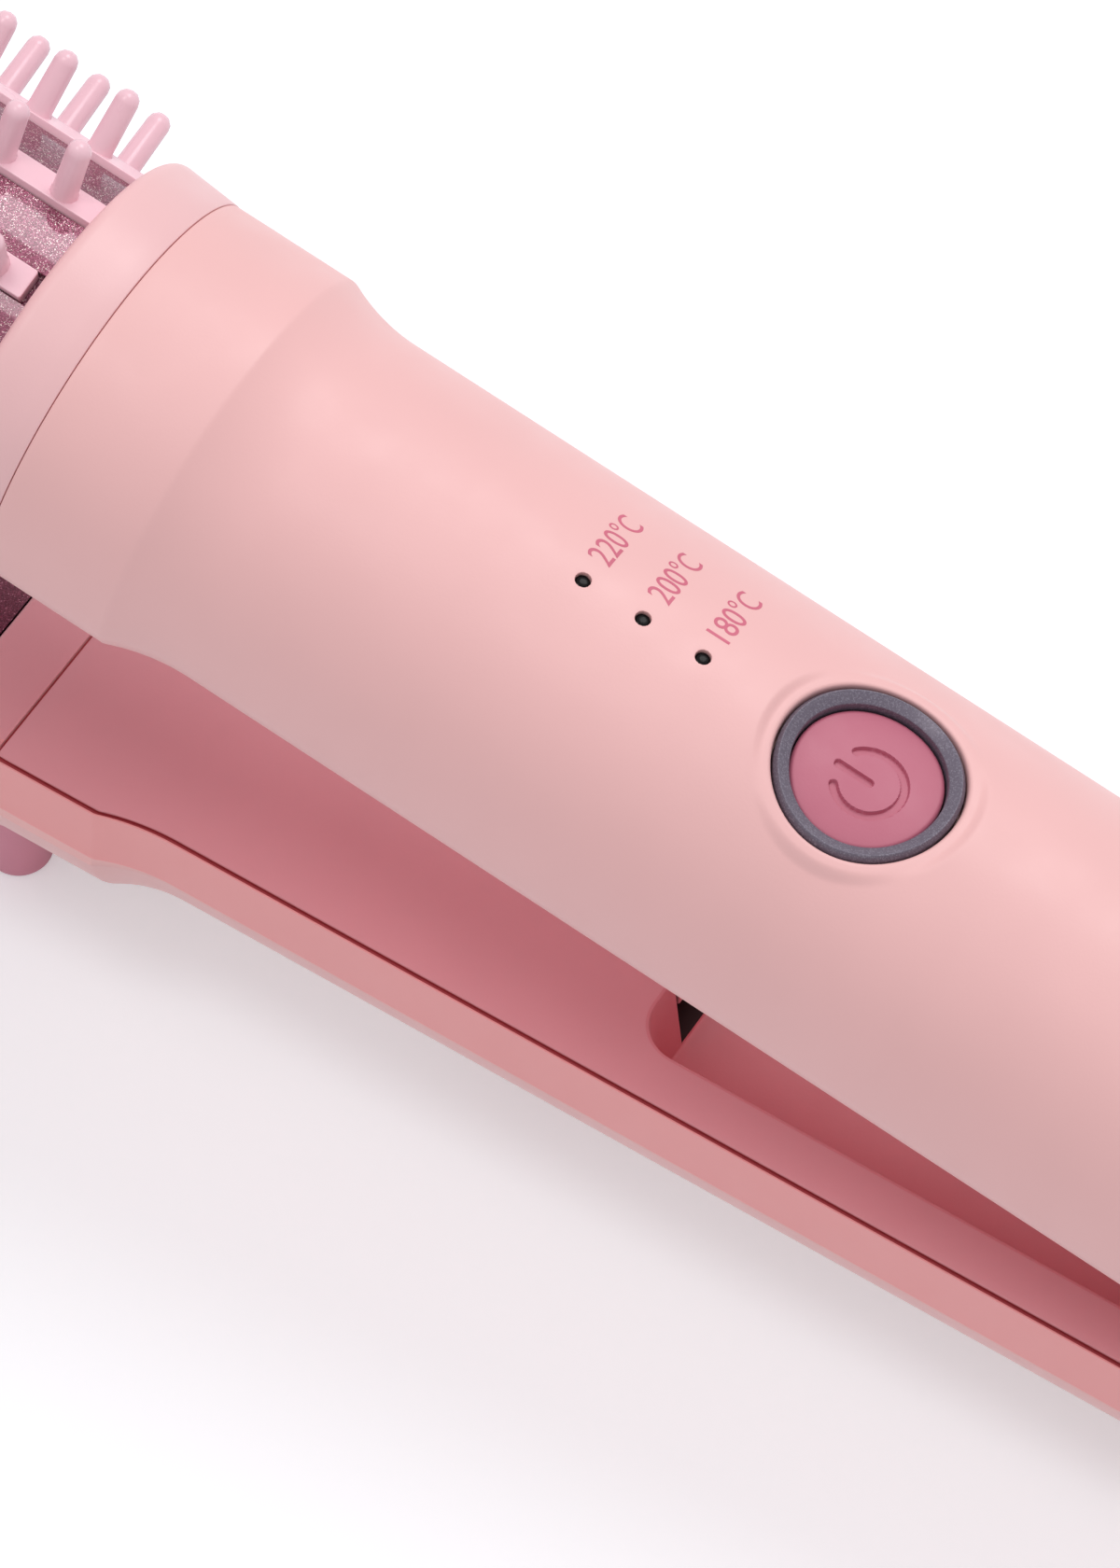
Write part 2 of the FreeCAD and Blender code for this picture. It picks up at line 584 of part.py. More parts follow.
def collar(arm):
    # Closed half-round ring over the end of the barrel, with a flat inner face.
    bore = "collar_radius - collar_wall"
    outer = [("collar_radius", "edge_gap"), ("-collar_radius", "edge_gap", ("0", "edge_gap"), "left"),
             ("-collar_radius + rim_inset", "cover_drop"), ("collar_radius - rim_inset", "cover_drop")]
    inner = [(bore, "edge_gap"), (f"-({bore})", "edge_gap", ("0", "edge_gap"), "left"),
             (f"-({bore}) + rim_inset", COVER_BACK), (f"{bore} - rim_inset", COVER_BACK)]
    body = drawn(f"{arm}_collar", [outer, inner], COLLAR_FRONT, "collar_length - seam_gap")
    keep(body, f"{arm}_collar", arm)


def row_angle(index):
    # Angle of a bristle row from the middle of the half barrel, in rail steps.
    return index - (BRISTLE_ROWS - 1) / 2


def barrel(arm):
    # Half tube about its own axis, with a groove for every rail.
    bore = "barrel_radius - barrel_wall"
    back = COLLAR_FRONT + " + barrel_tuck"
    outline = [(BARREL_END, bore), (back, bore), (back, "barrel_radius"), (BARREL_END, "barrel_radius")]
    tube = turned(f"{arm}_barrel_tube", outline, HALF_TURN)
    grooves = []
    for index in range(BRISTLE_ROWS):
        slot = block((BARREL_END, COLLAR_FRONT), across("groove_width / 2"),
                     ("barrel_radius - groove_depth", "barrel_radius + groove_depth"))
        groove = group(slot)
        groove.Placement = FreeCAD.Placement(ORIGIN, FreeCAD.Rotation(X_AXIS, 1))
        groove.setExpression("Placement.Rotation.Angle", bound(f"{row_angle(index)} * rail_step * 1 deg"))
        grooves.append(groove)
    keep(cut(tube, *grooves), f"{arm}_barrel", arm, "edge_gap")


def bristle_rail(arm, index):
    # Rail in its groove, with a row of tapered bristles with round tips.
    floor = "barrel_radius - groove_depth"
    crown = size("barrel_radius + rail_rise")
    along = (BARREL_END + " + seam_gap", PLATE_BACK)
    rail = solid_box(along, across("rail_width / 2"), (floor, "barrel_radius + rail_rise"))
    foot, tip = size("bristle_base"), size("bristle_tip")
    taper = size("bristle_height") - tip
    shift = size("row_stagger") * ((index + 1) % STAGGER_ROWS)
    station = size(COLLAR_FRONT) - size("first_bristle") - shift
    bristles = []
    while station > size(BARREL_END) + 2 * foot:
        base = FreeCAD.Vector(station, 0, crown - foot)
        bristles.append(Part.makeCone(foot, tip, taper + foot, base))
        bristles.append(Part.makeSphere(tip, FreeCAD.Vector(station, 0, crown + taper)))
        station -= size("bristle_pitch")
    shape = rail.fuse(bristles)
    shape.rotate(ORIGIN, X_AXIS, row_angle(index) * size("rail_step"))
    keep_shape(shape, f"{arm}_bristle_rail_{index + 1}", arm, "edge_gap")


def tip_cap(arm):
    # Half dome that closes the barrel, with a lip down to the plate's level.
    start, bend = BARREL_END + " - seam_gap", TIP_END + " + tip_round"
    inner = "barrel_radius - tip_round"
    outline = [(start, "0"), (start, "barrel_radius"), (bend, "barrel_radius"),
               (TIP_END, inner, (bend, inner), "left"), (TIP_END, "0")]
    dome = turned(f"{arm}_tip_dome", outline, HALF_TURN)
    lip = block((TIP_END + " + tip_round / 2", start), across("plate_half_width"),
                ("plate_gap - edge_gap", "0"))
    keep(fused(dome, lip), f"{arm}_tip_cap", arm, "edge_gap")


def heating(arm):
    # Channel-shaped plate, with the heating element, its clip, sensor and terminal block on it.
    x = (BARREL_END + " + seam_gap", PLATE_BACK)
    channel = block(x, across("plate_half_width"), ("plate_gap", PLATE_TOP + " + plate_flange"))
    inside = block(x, across("plate_half_width - plate_sheet"), (PLATE_TOP, PLATE_TOP + " + plate_flange"))
    keep(cut(channel, inside), f"{arm}_plate", arm)
    long = (HEATER_FRONT, HEATER_BACK)
    keep(group(block(long, across("heater_half_width"), (PLATE_TOP, HEATER_TOP))), f"{arm}_heater", arm)
    clip = block(long, across("heater_half_width + clip_overhang"),
                 (HEATER_TOP, HEATER_TOP + " + clip_height"))
    keep(group(clip), f"{arm}_heater_clip", arm)
    middle = f"({HEATER_FRONT} + {HEATER_BACK}) / 2"
    place = (middle, "sensor_offset", PLATE_TOP + " + sensor_radius")
    sensor = rod("sensor_radius", "sensor_length", place, X_AXIS)
    keep(group(sensor), f"{arm}_thermal_sensor", arm)


def wiring(arm):
    # Terminal block behind the heating element, and the pair of leads from it.
    offset = "feed_offset" if arm == "upper" else "lead_offset"
    end = BOARD_FRONT if arm == "upper" else "-tail_front + lead_radius"
    terminal = block((HEATER_BACK, TERMINAL_BACK), across(f"{offset} + lead_radius"),
                     (PLATE_TOP, f"{arm}_lead_level + lead_radius + terminal_skin"))
    keep(group(terminal), f"{arm}_terminal", arm)
    leads = []
    for side in SIDES:
        place = (TERMINAL_BACK, f"{side} * {offset}", f"{arm}_lead_level")
        leads.append(rod("lead_radius", f"({end}) - {TERMINAL_BACK}", place, X_AXIS))
    keep(group(*leads), f"{arm}_heater_leads", arm)


def button_group():
    middle = (BUTTON, "0")
    ring = rod("ring_radius", f"{RING_TOP} - {LEDGE_TOP}", (*middle, LEDGE_TOP))
    bore = rod("button_radius + button_fit", f"{RING_TOP} - {LEDGE_TOP}", (*middle, LEDGE_TOP))
    keep(cut(ring, bore), "button_ring", "upper")
    face = RING_TOP + " - button_recess"
    head = rod("button_radius", "button_depth", (*middle, face + " - button_depth"))
    foot = f"{PLUNGER_TOP} + button_travel + plunger_air"
    stem = rod("stem_radius", f"{face} - ({foot})", (*middle, foot))
    keep(fused(head, stem), "power_button", "upper")


def board_group():
    # Circuit board on its posts, with the push switch, the lamps, its screws and the light pipes.
    plate = block((BOARD_FRONT, BOARD_BACK), across("board_half_width"), ("board_level", BOARD_TOP))
    holes = [rod("screw_radius", "board_sheet", (*spot, "board_level")) for spot in post_spots()]
    keep(cut(plate, *holes), "control_board", "upper")
    case = block((BUTTON + " - switch_side / 2", BUTTON + " + switch_side / 2"),
                 across("switch_side / 2"), (BOARD_TOP, PLUNGER_TOP + " - plunger_radius / 2"))
    place = (BUTTON, "0", PLUNGER_TOP + " - plunger_radius")
    plunger = rod("plunger_radius", "plunger_radius", place)
    keep(fused(case, plunger), "push_switch", "upper")
    lamps, pipes = [], []
    for index in range(PILOT_LIGHTS):
        station = f"{PILOT_FRONT} + {index} * pilot_step"
        lamps.append(block((station + " - lamp_side / 2", station + " + lamp_side / 2"),
                           across("lamp_side / 2"), (BOARD_TOP, BOARD_TOP + " + lamp_height")))
        level = BOARD_TOP + " + lamp_height + pilot_air"
        height = f"{CREST} - pilot_recess - ({level})"
        pipes.append(rod("pilot_hole - pilot_fit", height, (station, "0", level)))
    keep(group(*lamps), "indicator_lamps", "upper")
    keep(group(*pipes), "light_pipes", "upper")
    screws = []
    for spot in post_spots():
        head = rod("head_radius", "head_height", (*spot, BOARD_TOP))
        shank = rod("screw_radius", "shank_length", (*spot, BOARD_TOP + " - shank_length"))
        screws.append(fused(head, shank))
    keep(group(*screws), "board_screws", "upper")


def tail_solid(inset):
    # Round-ended tail: an upper and a lower half dome with a straight band between them.
    radius, rounding, edge = size("handle_radius") - inset, size("tail_round") - inset, size("edge_gap")
    front, bend, end = size("-tail_front"), size("tail_straight"), size(TAIL_END) - inset
    diagonal = rounding / math.sqrt(2)
    flat = radius - rounding

    def half_outline(level, side):
        spots = [(front, 0), (front, radius), (bend, radius),
                 (bend + diagonal, flat + diagonal), (end, flat), (end, 0)]
        foot, shoulder, start, mid, stop, tip = [FreeCAD.Vector(x, side * y, level) for x, y in spots]
        edges = [Part.LineSegment(foot, shoulder), Part.LineSegment(shoulder, start),
                 Part.Arc(start, mid, stop), Part.LineSegment(stop, tip), Part.LineSegment(tip, foot)]
        return Part.Face(Part.Wire([edge.toShape() for edge in edges]))

    halves = [half_outline(level, 1).revolve(FreeCAD.Vector(0, 0, level), X_AXIS, turn)
              for level, turn in ((edge, HALF_TURN), (-edge, -HALF_TURN))]
    band = [half_outline(-edge, side).extrude(FreeCAD.Vector(0, 0, 2 * edge)) for side in SIDES]
    return halves[0].fuse(halves[1:] + band)


def tail_housing():
    # Hollow tail with the two hinge ears, the seat of the spring's lower leg and the gland's hole.
    outer = tail_solid(0)
    shell = outer.cut(tail_solid(size("shell_wall")))
    depth = f"-({CREST})"
    ears = []
    for side in SIDES:
        faces = sorted((f"{side} * ear_inner", f"{side} * (ear_inner + ear_sheet)"), key=size)
        ears.append(solid_box(across("ear_reach"), faces, (depth, "ear_rise")).common(outer))
    seat = solid_box(("-ear_reach", "-ear_reach / 2"), ("-ear_inner", "-coil_start + 2 * wire_radius"),
                     (LEG_SEAT, LEG_SEAT + " + leg_seat"))
    outside = ("0", "-ear_inner - ear_sheet", "0")
    pin_hole = solid_rod("pin_radius", "2 * (ear_inner + ear_sheet)", outside, Y_AXIS)
    gland_hole = solid_rod("gland_radius + gland_fit", "tail_round", ("tail_straight", "0", "0"), X_AXIS)
    shape = shell.fuse(ears)
    shape.rotate(ORIGIN, X_AXIS, HALF_TURN)
    keep_shape(shape.fuse(seat).cut([pin_hole, gland_hole]), "tail_housing", "lower")


def hinge_pin():
    end = "(ear_inner + ear_sheet + pin_end)"
    keep(group(rod("pin_radius", f"2 * {end}", ("0", f"-{end}", "0"), Y_AXIS)), "hinge_pin", "lower")
    retainers = []
    for start in ("ear_inner + ear_sheet + seam_gap", "-ear_inner - ear_sheet - seam_gap - retainer_sheet"):
        disc = rod("retainer_radius", "retainer_sheet", ("0", start, "0"), Y_AXIS)
        hole = rod("pin_radius", "retainer_sheet", ("0", start, "0"), Y_AXIS)
        retainers.append(cut(disc, hole))
    keep(group(*retainers), "pin_retainers", "lower")


def arc_from(start, heading, end):
    # Arc that leaves start along heading and reaches end.
    chord = end - start
    along = FreeCAD.Vector(chord).normalize()
    aside = heading - along * heading.dot(along)
    half_angle = heading.getAngle(along) / 2
    bulge = aside.normalize() * (chord.Length / 2 * math.tan(half_angle))
    return Part.Arc(start, start + chord / 2 + bulge, end).toShape()


def biarc(start, heading, end, arrival):
    # Two arcs with one tangent where they meet.
    chord, sweep = end - start, heading + arrival
    bend = 2 * (1 - heading.dot(arrival))
    lean = chord.dot(sweep)
    reach = (math.sqrt(lean ** 2 + bend * chord.dot(chord)) - lean) / bend
    joint = (start + end + (heading - arrival) * reach) / 2
    meeting = (joint - start - heading * reach).normalize()
    return [arc_from(start, heading, joint), arc_from(joint, meeting, end)]


def torsion_spring():
    # Coil round the pin. One leg lies on the tail's seat and the other under the upper cover's shelf.
    radius, start, end = size("coil_radius"), size("-coil_start"), size("-coil_end")
    whole = math.radians(size("coil_turns") * FULL_TURN + HALF_TURN - size("open_angle"))
    slope = (end - start) / whole

    def spot(turn):
        return FreeCAD.Vector(radius * math.sin(turn), start + slope * turn, radius * math.cos(turn))

    def heading(turn):
        return FreeCAD.Vector(radius * math.cos(turn), slope, -radius * math.sin(turn)).normalize()

    quarters = math.ceil(whole / math.radians(QUARTER_TURN))
    turns = [whole * step / quarters for step in range(quarters + 1)]
    foot = spot(0) - heading(0) * size("leg_length")
    head = spot(whole) + heading(whole) * size("leg_length")
    edges = [Part.LineSegment(foot, spot(0)).toShape()]
    for one, two in zip(turns, turns[1:]):
        edges += biarc(spot(one), heading(one), spot(two), heading(two))
    edges.append(Part.LineSegment(spot(whole), head).toShape())
    wire = Part.Wire(edges)
    ring = Part.Wire(Part.Circle(foot, heading(0), size("wire_radius")).toShape())
    pitch = abs(slope) * math.radians(FULL_TURN)
    print("least gap between the spring's turns", round(pitch - 2 * size("wire_radius"), 3))
    item = doc.addObject("Part::Feature", "torsion_spring")
    item.Shape = wire.makePipeShell([ring], True, False)
    keep(item, "torsion_spring", "lower")


def cord_gland():
    # Bush that turns in the end of the tail, with the bore for the cord.
    flange_back = TAIL_END + " - shell_wall - gland_fit"
    end = TAIL_END + " + gland_reach"
    outline = [(flange_back + " - gland_sheet", "gland_bore"), (end, "gland_bore"), (end, "gland_radius"),
               (flange_back, "gland_radius"), (flange_back, "gland_flange"),
               (flange_back + " - gland_sheet", "gland_flange")]
    keep(turned("cord_gland", outline, FULL_TURN), "cord_gland", "lower")


def rest_feet():
    # Posts under the lower collar, cut level with the surface that the brush lies on.
    start = (f"{COLLAR_FRONT} - collar_length / 2", "0", "edge_gap")
    collar_round = rod("collar_radius + seam_gap", "2 * collar_length", start, X_AXIS)
    surface = block(("0", "2 * barrel_length"), across("2 * collar_radius"), ("0", "2 * handle_radius"))
    surface.Placement = FreeCAD.Placement(ORIGIN, FreeCAD.Rotation(Y_AXIS, 1))
    surface.setExpression("Placement.Rotation.Angle", bound(TILT))
    level = f"({HINGE_Z} - {BARREL_END} * sin({TILT})) / cos({TILT})"
    put(surface, (BARREL_END, "-2 * collar_radius", level))
    feet = []
    for side in SIDES:
        place = (f"{COLLAR_FRONT} + collar_length / 2", f"{side} * foot_offset", "edge_gap")
        feet.append(cut(rod("foot_radius", "3 * collar_radius", place), collar_round, surface))
    keep(group(*feet), "rest_feet", "lower")


def write_parts():
    doc.recompute()
    failed = [item.Label for item in doc.Objects if {"Invalid", "Error"} & set(item.State)]
    if failed:
        raise RuntimeError("failed: " + ", ".join(failed))
    for item in parts:
        if item.Shape.isNull() or not item.Shape.isValid() or item.Shape.Volume <= 0:
            raise RuntimeError("no valid solid: " + item.Label)
    os.makedirs("parts", exist_ok=True)
    for item in parts:
        item.Shape.exportStep(f"parts/{item.Label}.step")
    print(len(parts), "parts")


def main():
    fill_sheet()
    upper_shell()
    lower_shell()
    upper_cover()
    lower_cover()
    lock()
    for arm in ("upper", "lower"):
        cover_screws(arm)
        collar(arm)
        barrel(arm)
        tip_cap(arm)
        heating(arm)
        wiring(arm)
        for index in range(BRISTLE_ROWS):
            bristle_rail(arm, index)
    button_group()
    board_group()
    tail_housing()
    hinge_pin()
    torsion_spring()
    cord_gland()
    rest_feet()
    write_parts()


main()
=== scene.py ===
import json

import bmesh
import bpy
import numpy as np
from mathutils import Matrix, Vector
from numpy import array, clip, concatenate, cos, linspace, pi, radians, sin, sqrt, stack


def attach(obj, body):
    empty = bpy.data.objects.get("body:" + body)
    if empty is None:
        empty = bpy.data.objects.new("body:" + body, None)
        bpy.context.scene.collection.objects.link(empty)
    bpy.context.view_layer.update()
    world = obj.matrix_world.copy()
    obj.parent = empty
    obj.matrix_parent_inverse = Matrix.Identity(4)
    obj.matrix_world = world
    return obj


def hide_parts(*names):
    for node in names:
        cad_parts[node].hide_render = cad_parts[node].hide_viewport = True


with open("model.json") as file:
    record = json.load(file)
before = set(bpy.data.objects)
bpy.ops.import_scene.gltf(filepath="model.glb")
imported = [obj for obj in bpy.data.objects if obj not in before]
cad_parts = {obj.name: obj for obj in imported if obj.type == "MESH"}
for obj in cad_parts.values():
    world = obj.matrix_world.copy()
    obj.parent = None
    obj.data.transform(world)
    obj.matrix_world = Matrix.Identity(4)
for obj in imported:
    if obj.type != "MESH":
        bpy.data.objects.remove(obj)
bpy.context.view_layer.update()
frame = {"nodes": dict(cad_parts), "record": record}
nodes = frame["nodes"]
joints = {joint["name"]: joint for joint in frame["record"]["behaviour"]["joints"]}
print("frame loaded,", len(nodes), "nodes")

# Every arm is drawn shut, in millimetres: hinge axis along Y through the origin, barrel to -X,
# arms meeting in the plane z = 0. The lower arm is turned over about X.
mm = 0.001
weldGap = 1e-6
tiny = 1e-6
hingeSpot = array(joints["arm_hinge"]["pos_m"]) / mm
restTilt = 2.0


class Form(dict):
    # dictionary of a piece whose entries are read as form.name
    __getattr__ = dict.__getitem__


def arms(upper, lower):
    return {"upper": upper, "lower": lower}


armTilt = arms(restTilt + joints["arm_hinge"]["range_deg"][1], restTilt)
armTurn = arms(1.0, -1.0)


def toFrame(points, arm):
    # millimetres of the arm -> metres of the frame
    tilt, side = radians(armTilt[arm]), armTurn[arm]
    x, y, z = points[:, 0], points[:, 1] * side, points[:, 2] * side
    turned = np.c_[x * cos(tilt) + z * sin(tilt), y, z * cos(tilt) - x * sin(tilt)]
    return (turned + hingeSpot) * mm


def grid(points, around=False, keep=None):
    # corners and quads of points[i, j]; keep picks the quads that stay
    rows, columns = points.shape[:2]
    i = np.arange(rows - 1)[:, None] * columns
    j = np.arange(columns if around else columns - 1)[None, :]
    k = (j + 1) % columns
    quads = stack([i + j, i + k, i + columns + k, i + columns + j], -1)
    return points.reshape(-1, 3), quads[keep] if keep is not None else quads.reshape(-1, 4)


def strip(one, two, around=False):
    return grid(stack([one, two]), around)


def closing(outer, inner, around=False):
    # strips between two walls, at both ends and, unless they run around, along both sides
    sides = [] if around else [strip(outer[:, side], inner[:, side]) for side in (0, -1)]
    return sides + [strip(outer[end], inner[end], around) for end in (0, -1)]


def sections(x, y, z):
    # one row of corners for each station
    return stack([np.broadcast_to(x[:, None], y.shape), y, np.broadcast_to(z, y.shape)], -1)


def carried(line, x):
    # a section of (y, z) at every station
    return sections(x, *[np.tile(part, (len(x), 1)) for part in line.T])


def stations(start, end, step, *marks):
    # even spacing, with a grid line at every mark
    stops = sorted({start, end, *[mark for mark in marks if start < mark < end]})
    runs = [linspace(a, b, max(2, int(np.ceil((b - a) / step - tiny)) + 1))[:-1]
            for a, b in zip(stops, stops[1:])]
    return np.append(concatenate(runs), end)


def softened(corners, cuts, steps=4, closed=False):
    # polyline with each corner bent into a parabola that starts a cut before it
    corners, cuts = array(corners, float), array(cuts, float)
    if not closed:
        cuts[[0, -1]] = 0.0
    ends = []
    for way in (1, -1):
        side = np.roll(corners, way, 0) - corners
        length = np.linalg.norm(side, axis=1)
        reach = np.minimum(cuts, 0.49 * length) / np.maximum(length, tiny)
        ends.append((corners + side * reach[:, None])[:, None])
    t = linspace(0, 1, steps + 1)[None, :, None]
    bent = (1 - t) ** 2 * ends[0] + 2 * t * (1 - t) * corners[:, None] + t ** 2 * ends[1]
    line = bent.reshape(-1, 2)
    fresh = np.linalg.norm(np.diff(line, axis=0), axis=1) > tiny
    return line[np.append(True, fresh)]


def lathe(profile, spot, count, axis="z"):
    # profile of (radius, height) turned about an axis through spot
    profile = array(profile, float)
    angle = linspace(0, 2 * pi, count, endpoint=False)
    u, v = profile[:, :1] * cos(angle), profile[:, :1] * sin(angle)
    w = profile[:, 1:] + 0 * angle
    order = {"z": (u, v, w), "x": (w, u, v), "y": (v, w, u)}[axis]
    return grid(stack(order, -1) + spot, True)


def edgeLoop(points):
    return np.r_[points[:-1, 0], points[-1, :-1], points[:0:-1, -1], points[0, :0:-1]]


def cutWindows(walls, openings, x, across, shift):
    # quads of the walls that stay, and loops round each opening
    keep = np.ones_like(walls[0][1:, 1:, 0], bool)
    windows = []
    for spans in openings:
        (i, iEnd), (j, jEnd) = [[int(np.argmin(np.abs(values - spot))) for spot in span]
                                for values, span in zip((x, across), spans)]
        keep[i:iEnd, j + shift:jEnd + shift] = False
        windows.append([edgeLoop(wall[i:iEnd + 1, j + shift:jEnd + shift + 1]) for wall in walls])
    return keep, windows


def coreLoop(loop, core):
    # spot of the core rectangle nearest to each corner of a loop, and the way out
    middle, half = array(core[:2]), array(core[2:])
    flat = loop[:, :2]
    nearest = clip(flat, middle - half, middle + half)
    out = flat - nearest
    return nearest, out / np.linalg.norm(out, axis=1)[:, None]


def coreRows(loop, core, profile):
    # rings round the core rectangle: a profile of (distance from the core, level)
    nearest, out = coreLoop(loop, core)
    flat = nearest + profile[:, None, :1] * out
    level = np.broadcast_to(profile[:, None, 1:], flat.shape[:2] + (1,))
    return concatenate([flat, level], -1)


def corePatch(loop, core, radius, rings, levelAt):
    # rings from a loop of grid corners in to the outline at a distance from the core
    nearest, out = coreLoop(loop, core)
    t = linspace(0, 1, rings + 1)[:, None, None]
    flat = loop[:, :2] + t * (nearest + radius * out - loop[:, :2])
    level = np.broadcast_to(levelAt(flat[..., 0], flat[..., 1]), flat.shape[:2])
    rows = concatenate([flat, level[..., None]], -1)
    rows[0] = loop
    return rows


def roundedBlock(x, half, z, corner, edge, bend=6, y=0.0):
    # upright rounded box, half its width to both sides of y
    core = array([(x[0] + x[1]) / 2, y, (x[1] - x[0]) / 2 - corner, half - corner])
    angle = linspace(0, pi / 2, bend + 1)
    quarter = np.c_[cos(angle), sin(angle)]
    loop = []
    for turnX, turnY, order in ((1, 1, 1), (-1, 1, -1), (-1, -1, 1), (1, -1, -1)):
        loop.append(core[:2] + (core[2:] + quarter[::order] * corner) * (turnX, turnY))
    profile = softened([(0, z[0]), (corner, z[0]), (corner, z[1]), (0, z[1])], [edge] * 4)
    rows = coreRows(concatenate(loop), core, profile)
    ends = [np.broadcast_to([*core[:2], level], rows[:1].shape) for level in z]
    return grid(np.r_[ends[0], rows, ends[1]], True)


def smoothStep(low, high, value):
    t = clip((value - low) / (high - low), 0, 1)
    return t * t * (3 - 2 * t)


def roundOff(distance, radius):
    # how far a round has drawn the surface in, at a distance from the end
    left = radius - clip(distance, 0, radius)
    return radius - sqrt(radius ** 2 - left ** 2)


def wearing(surface, finish):
    # the surface with all its quads in that finish of its piece
    return *surface, np.full(len(surface[1]), finish)


def placed(name, data):
    thing = bpy.data.objects.new(name, data)
    bpy.context.collection.objects.link(thing)
    return thing


def addPiece(name, surfaces, arm, finishes, replaced, crease=45, body=None):
    # weld the surfaces and shade them smooth up to the crease angle; a surface's third array
    # picks a finish for each quad
    starts = np.cumsum([0] + [len(surface[0]) for surface in surfaces])
    corners = concatenate([surface[0] for surface in surfaces])
    quads = concatenate([surface[1] + start for surface, start in zip(surfaces, starts)])
    worn = concatenate([surface[2] if len(surface) > 2 else np.zeros(len(surface[1]), int)
                        for surface in surfaces])
    mesh = bpy.data.meshes.new(name)
    mesh.from_pydata(toFrame(corners, arm).tolist(), [], quads.tolist())
    mesh.polygons.foreach_set("material_index", worn.astype(np.int32))
    work = bmesh.new()
    work.from_mesh(mesh)
    bmesh.ops.remove_doubles(work, verts=work.verts, dist=weldGap)
    bmesh.ops.dissolve_degenerate(work, edges=work.edges, dist=weldGap)
    bmesh.ops.recalc_face_normals(work, faces=work.faces)
    work.to_mesh(mesh)
    work.free()
    mesh.polygons.foreach_set("use_smooth", np.ones(len(mesh.polygons), bool))
    mesh.set_sharp_from_angle(angle=radians(crease))
    for finish in finishes:
        mesh.materials.append(finish)
    piece = placed(name, mesh)
    body = body or f"{arm}_arm"
    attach(piece, body)
    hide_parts(*replaced)


# finishes
def linear(colour):
    # sRGB 0..255 -> linear colour
    part = array(colour, float) / 255
    low = part <= 0.04045
    return (*np.where(low, part / 12.92, ((part + 0.055) / 1.055) ** 2.4), 1.0)


def shade(colour, factor):
    return tuple(min(255, part * factor) for part in colour)


class Finish:
    # node tree of a material or the world, with patterns placed by object coordinates
    def __init__(self, holder):
        holder.use_nodes = True
        self.holder, self.tree = holder, holder.node_tree
        self.place = self.add("TexCoord").outputs["Object"]

    def add(self, kind, inputs=None, operation=None):
        node = self.tree.nodes.new(f"ShaderNode{kind}")
        if operation:
            node.operation = operation
        return self.feed(node, inputs or {})

    def feed(self, node, inputs):
        # fixed values or other nodes' outputs
        for socket, value in inputs.items():
            if isinstance(value, bpy.types.NodeSocket):
                self.tree.links.new(value, node.inputs[socket])
            else:
                node.inputs[socket].default_value = value
        return node

    def noise(self, size, detail):
        # features about size metres wide
        inputs = {"Scale": 1.0 / size, "Detail": detail, "Vector": self.place}
        return self.add("TexNoise", inputs).outputs["Fac"]

    def ramp(self, source, stops):
        node = self.add("ValToRGB", {"Fac": source})
        bar = node.color_ramp
        while len(bar.elements) < len(stops):
            bar.elements.new(0.5)
        for element, (place, tone) in zip(bar.elements, stops):
            element.position = place
            element.color = linear(tone)
        return node.outputs["Color"]

    def spread(self, source, low, high, start=0.3, end=0.7):
        # a value stretched from start..end to low..high
        inputs = {"Value": source, "From Min": start, "From Max": end, "To Min": low, "To Max": high}
        return self.add("MapRange", inputs).outputs["Result"]

    def bump(self, source, depth):
        return self.add("Bump", {"Distance": depth, "Height": source}).outputs["Normal"]

    def vector(self, operation, inputs):
        return self.add("VectorMath", inputs, operation).outputs["Vector"]

    def wear(self, colour, roughness, **inputs):
        inputs = {socket.replace("_", " "): value for socket, value in inputs.items()}
        inputs.update({"Base Color": colour, "Roughness": roughness})
        self.feed(self.tree.nodes["Principled BSDF"], inputs)
        return self.holder


def mouldedFinish(finish, colour, roughness, drift=0.006, grain=0.00025, depth=0.000008, shine=0.5):
    # moulded plastic: broad drift of colour, fine spark-eroded grain
    tones = [(0.3, shade(colour, 1 - drift)), (0.7, shade(colour, 1 + drift))]
    return finish.wear(finish.ramp(finish.noise(0.012, 2.0), tones),
                       finish.spread(finish.noise(0.004, 4.0), roughness - 0.05, roughness + 0.05),
                       Normal=finish.bump(finish.noise(grain, 2.0), depth), Specular_IOR_Level=shine)


def glitterFinish(finish, tones, flake, tilt, roughness, metallic, coat, coatRoughness):
    # lacquer full of flakes: a tone and a lean for each flake, under a clear coat
    flakes = finish.add("TexVoronoi", {"Scale": 1.0 / flake, "Vector": finish.place}).outputs["Color"]
    apart = finish.add("SeparateColor", {"Color": flakes}).outputs
    outward = finish.add("NewGeometry").outputs["Normal"]
    lean = finish.vector("SUBTRACT", {0: flakes, 1: (0.5, 0.5, 0.5)})
    lean = finish.vector("SCALE", {0: lean, "Scale": tilt})
    lean = finish.vector("ADD", {0: outward, 1: lean})
    return finish.wear(finish.ramp(apart["Red"], tones),
                       finish.spread(apart["Green"], roughness - 0.08, roughness + 0.15, 0.0, 1.0),
                       Normal=finish.vector("NORMALIZE", {0: lean}), Metallic=metallic,
                       Coat_Weight=coat, Coat_Roughness=coatRoughness)


def metalFinish(finish, colour, roughness, stretch):
    # drawn or rolled metal: fine lines along one direction
    turned = finish.add("Mapping", {"Scale": stretch, "Vector": finish.place}).outputs["Vector"]
    lines = finish.add("TexNoise", {"Scale": 1.0, "Vector": turned}).outputs["Fac"]
    return finish.wear(finish.ramp(lines, [(0.3, shade(colour, 0.9)), (0.7, colour)]),
                       finish.spread(lines, roughness - 0.08, roughness + 0.08), Metallic=1.0)


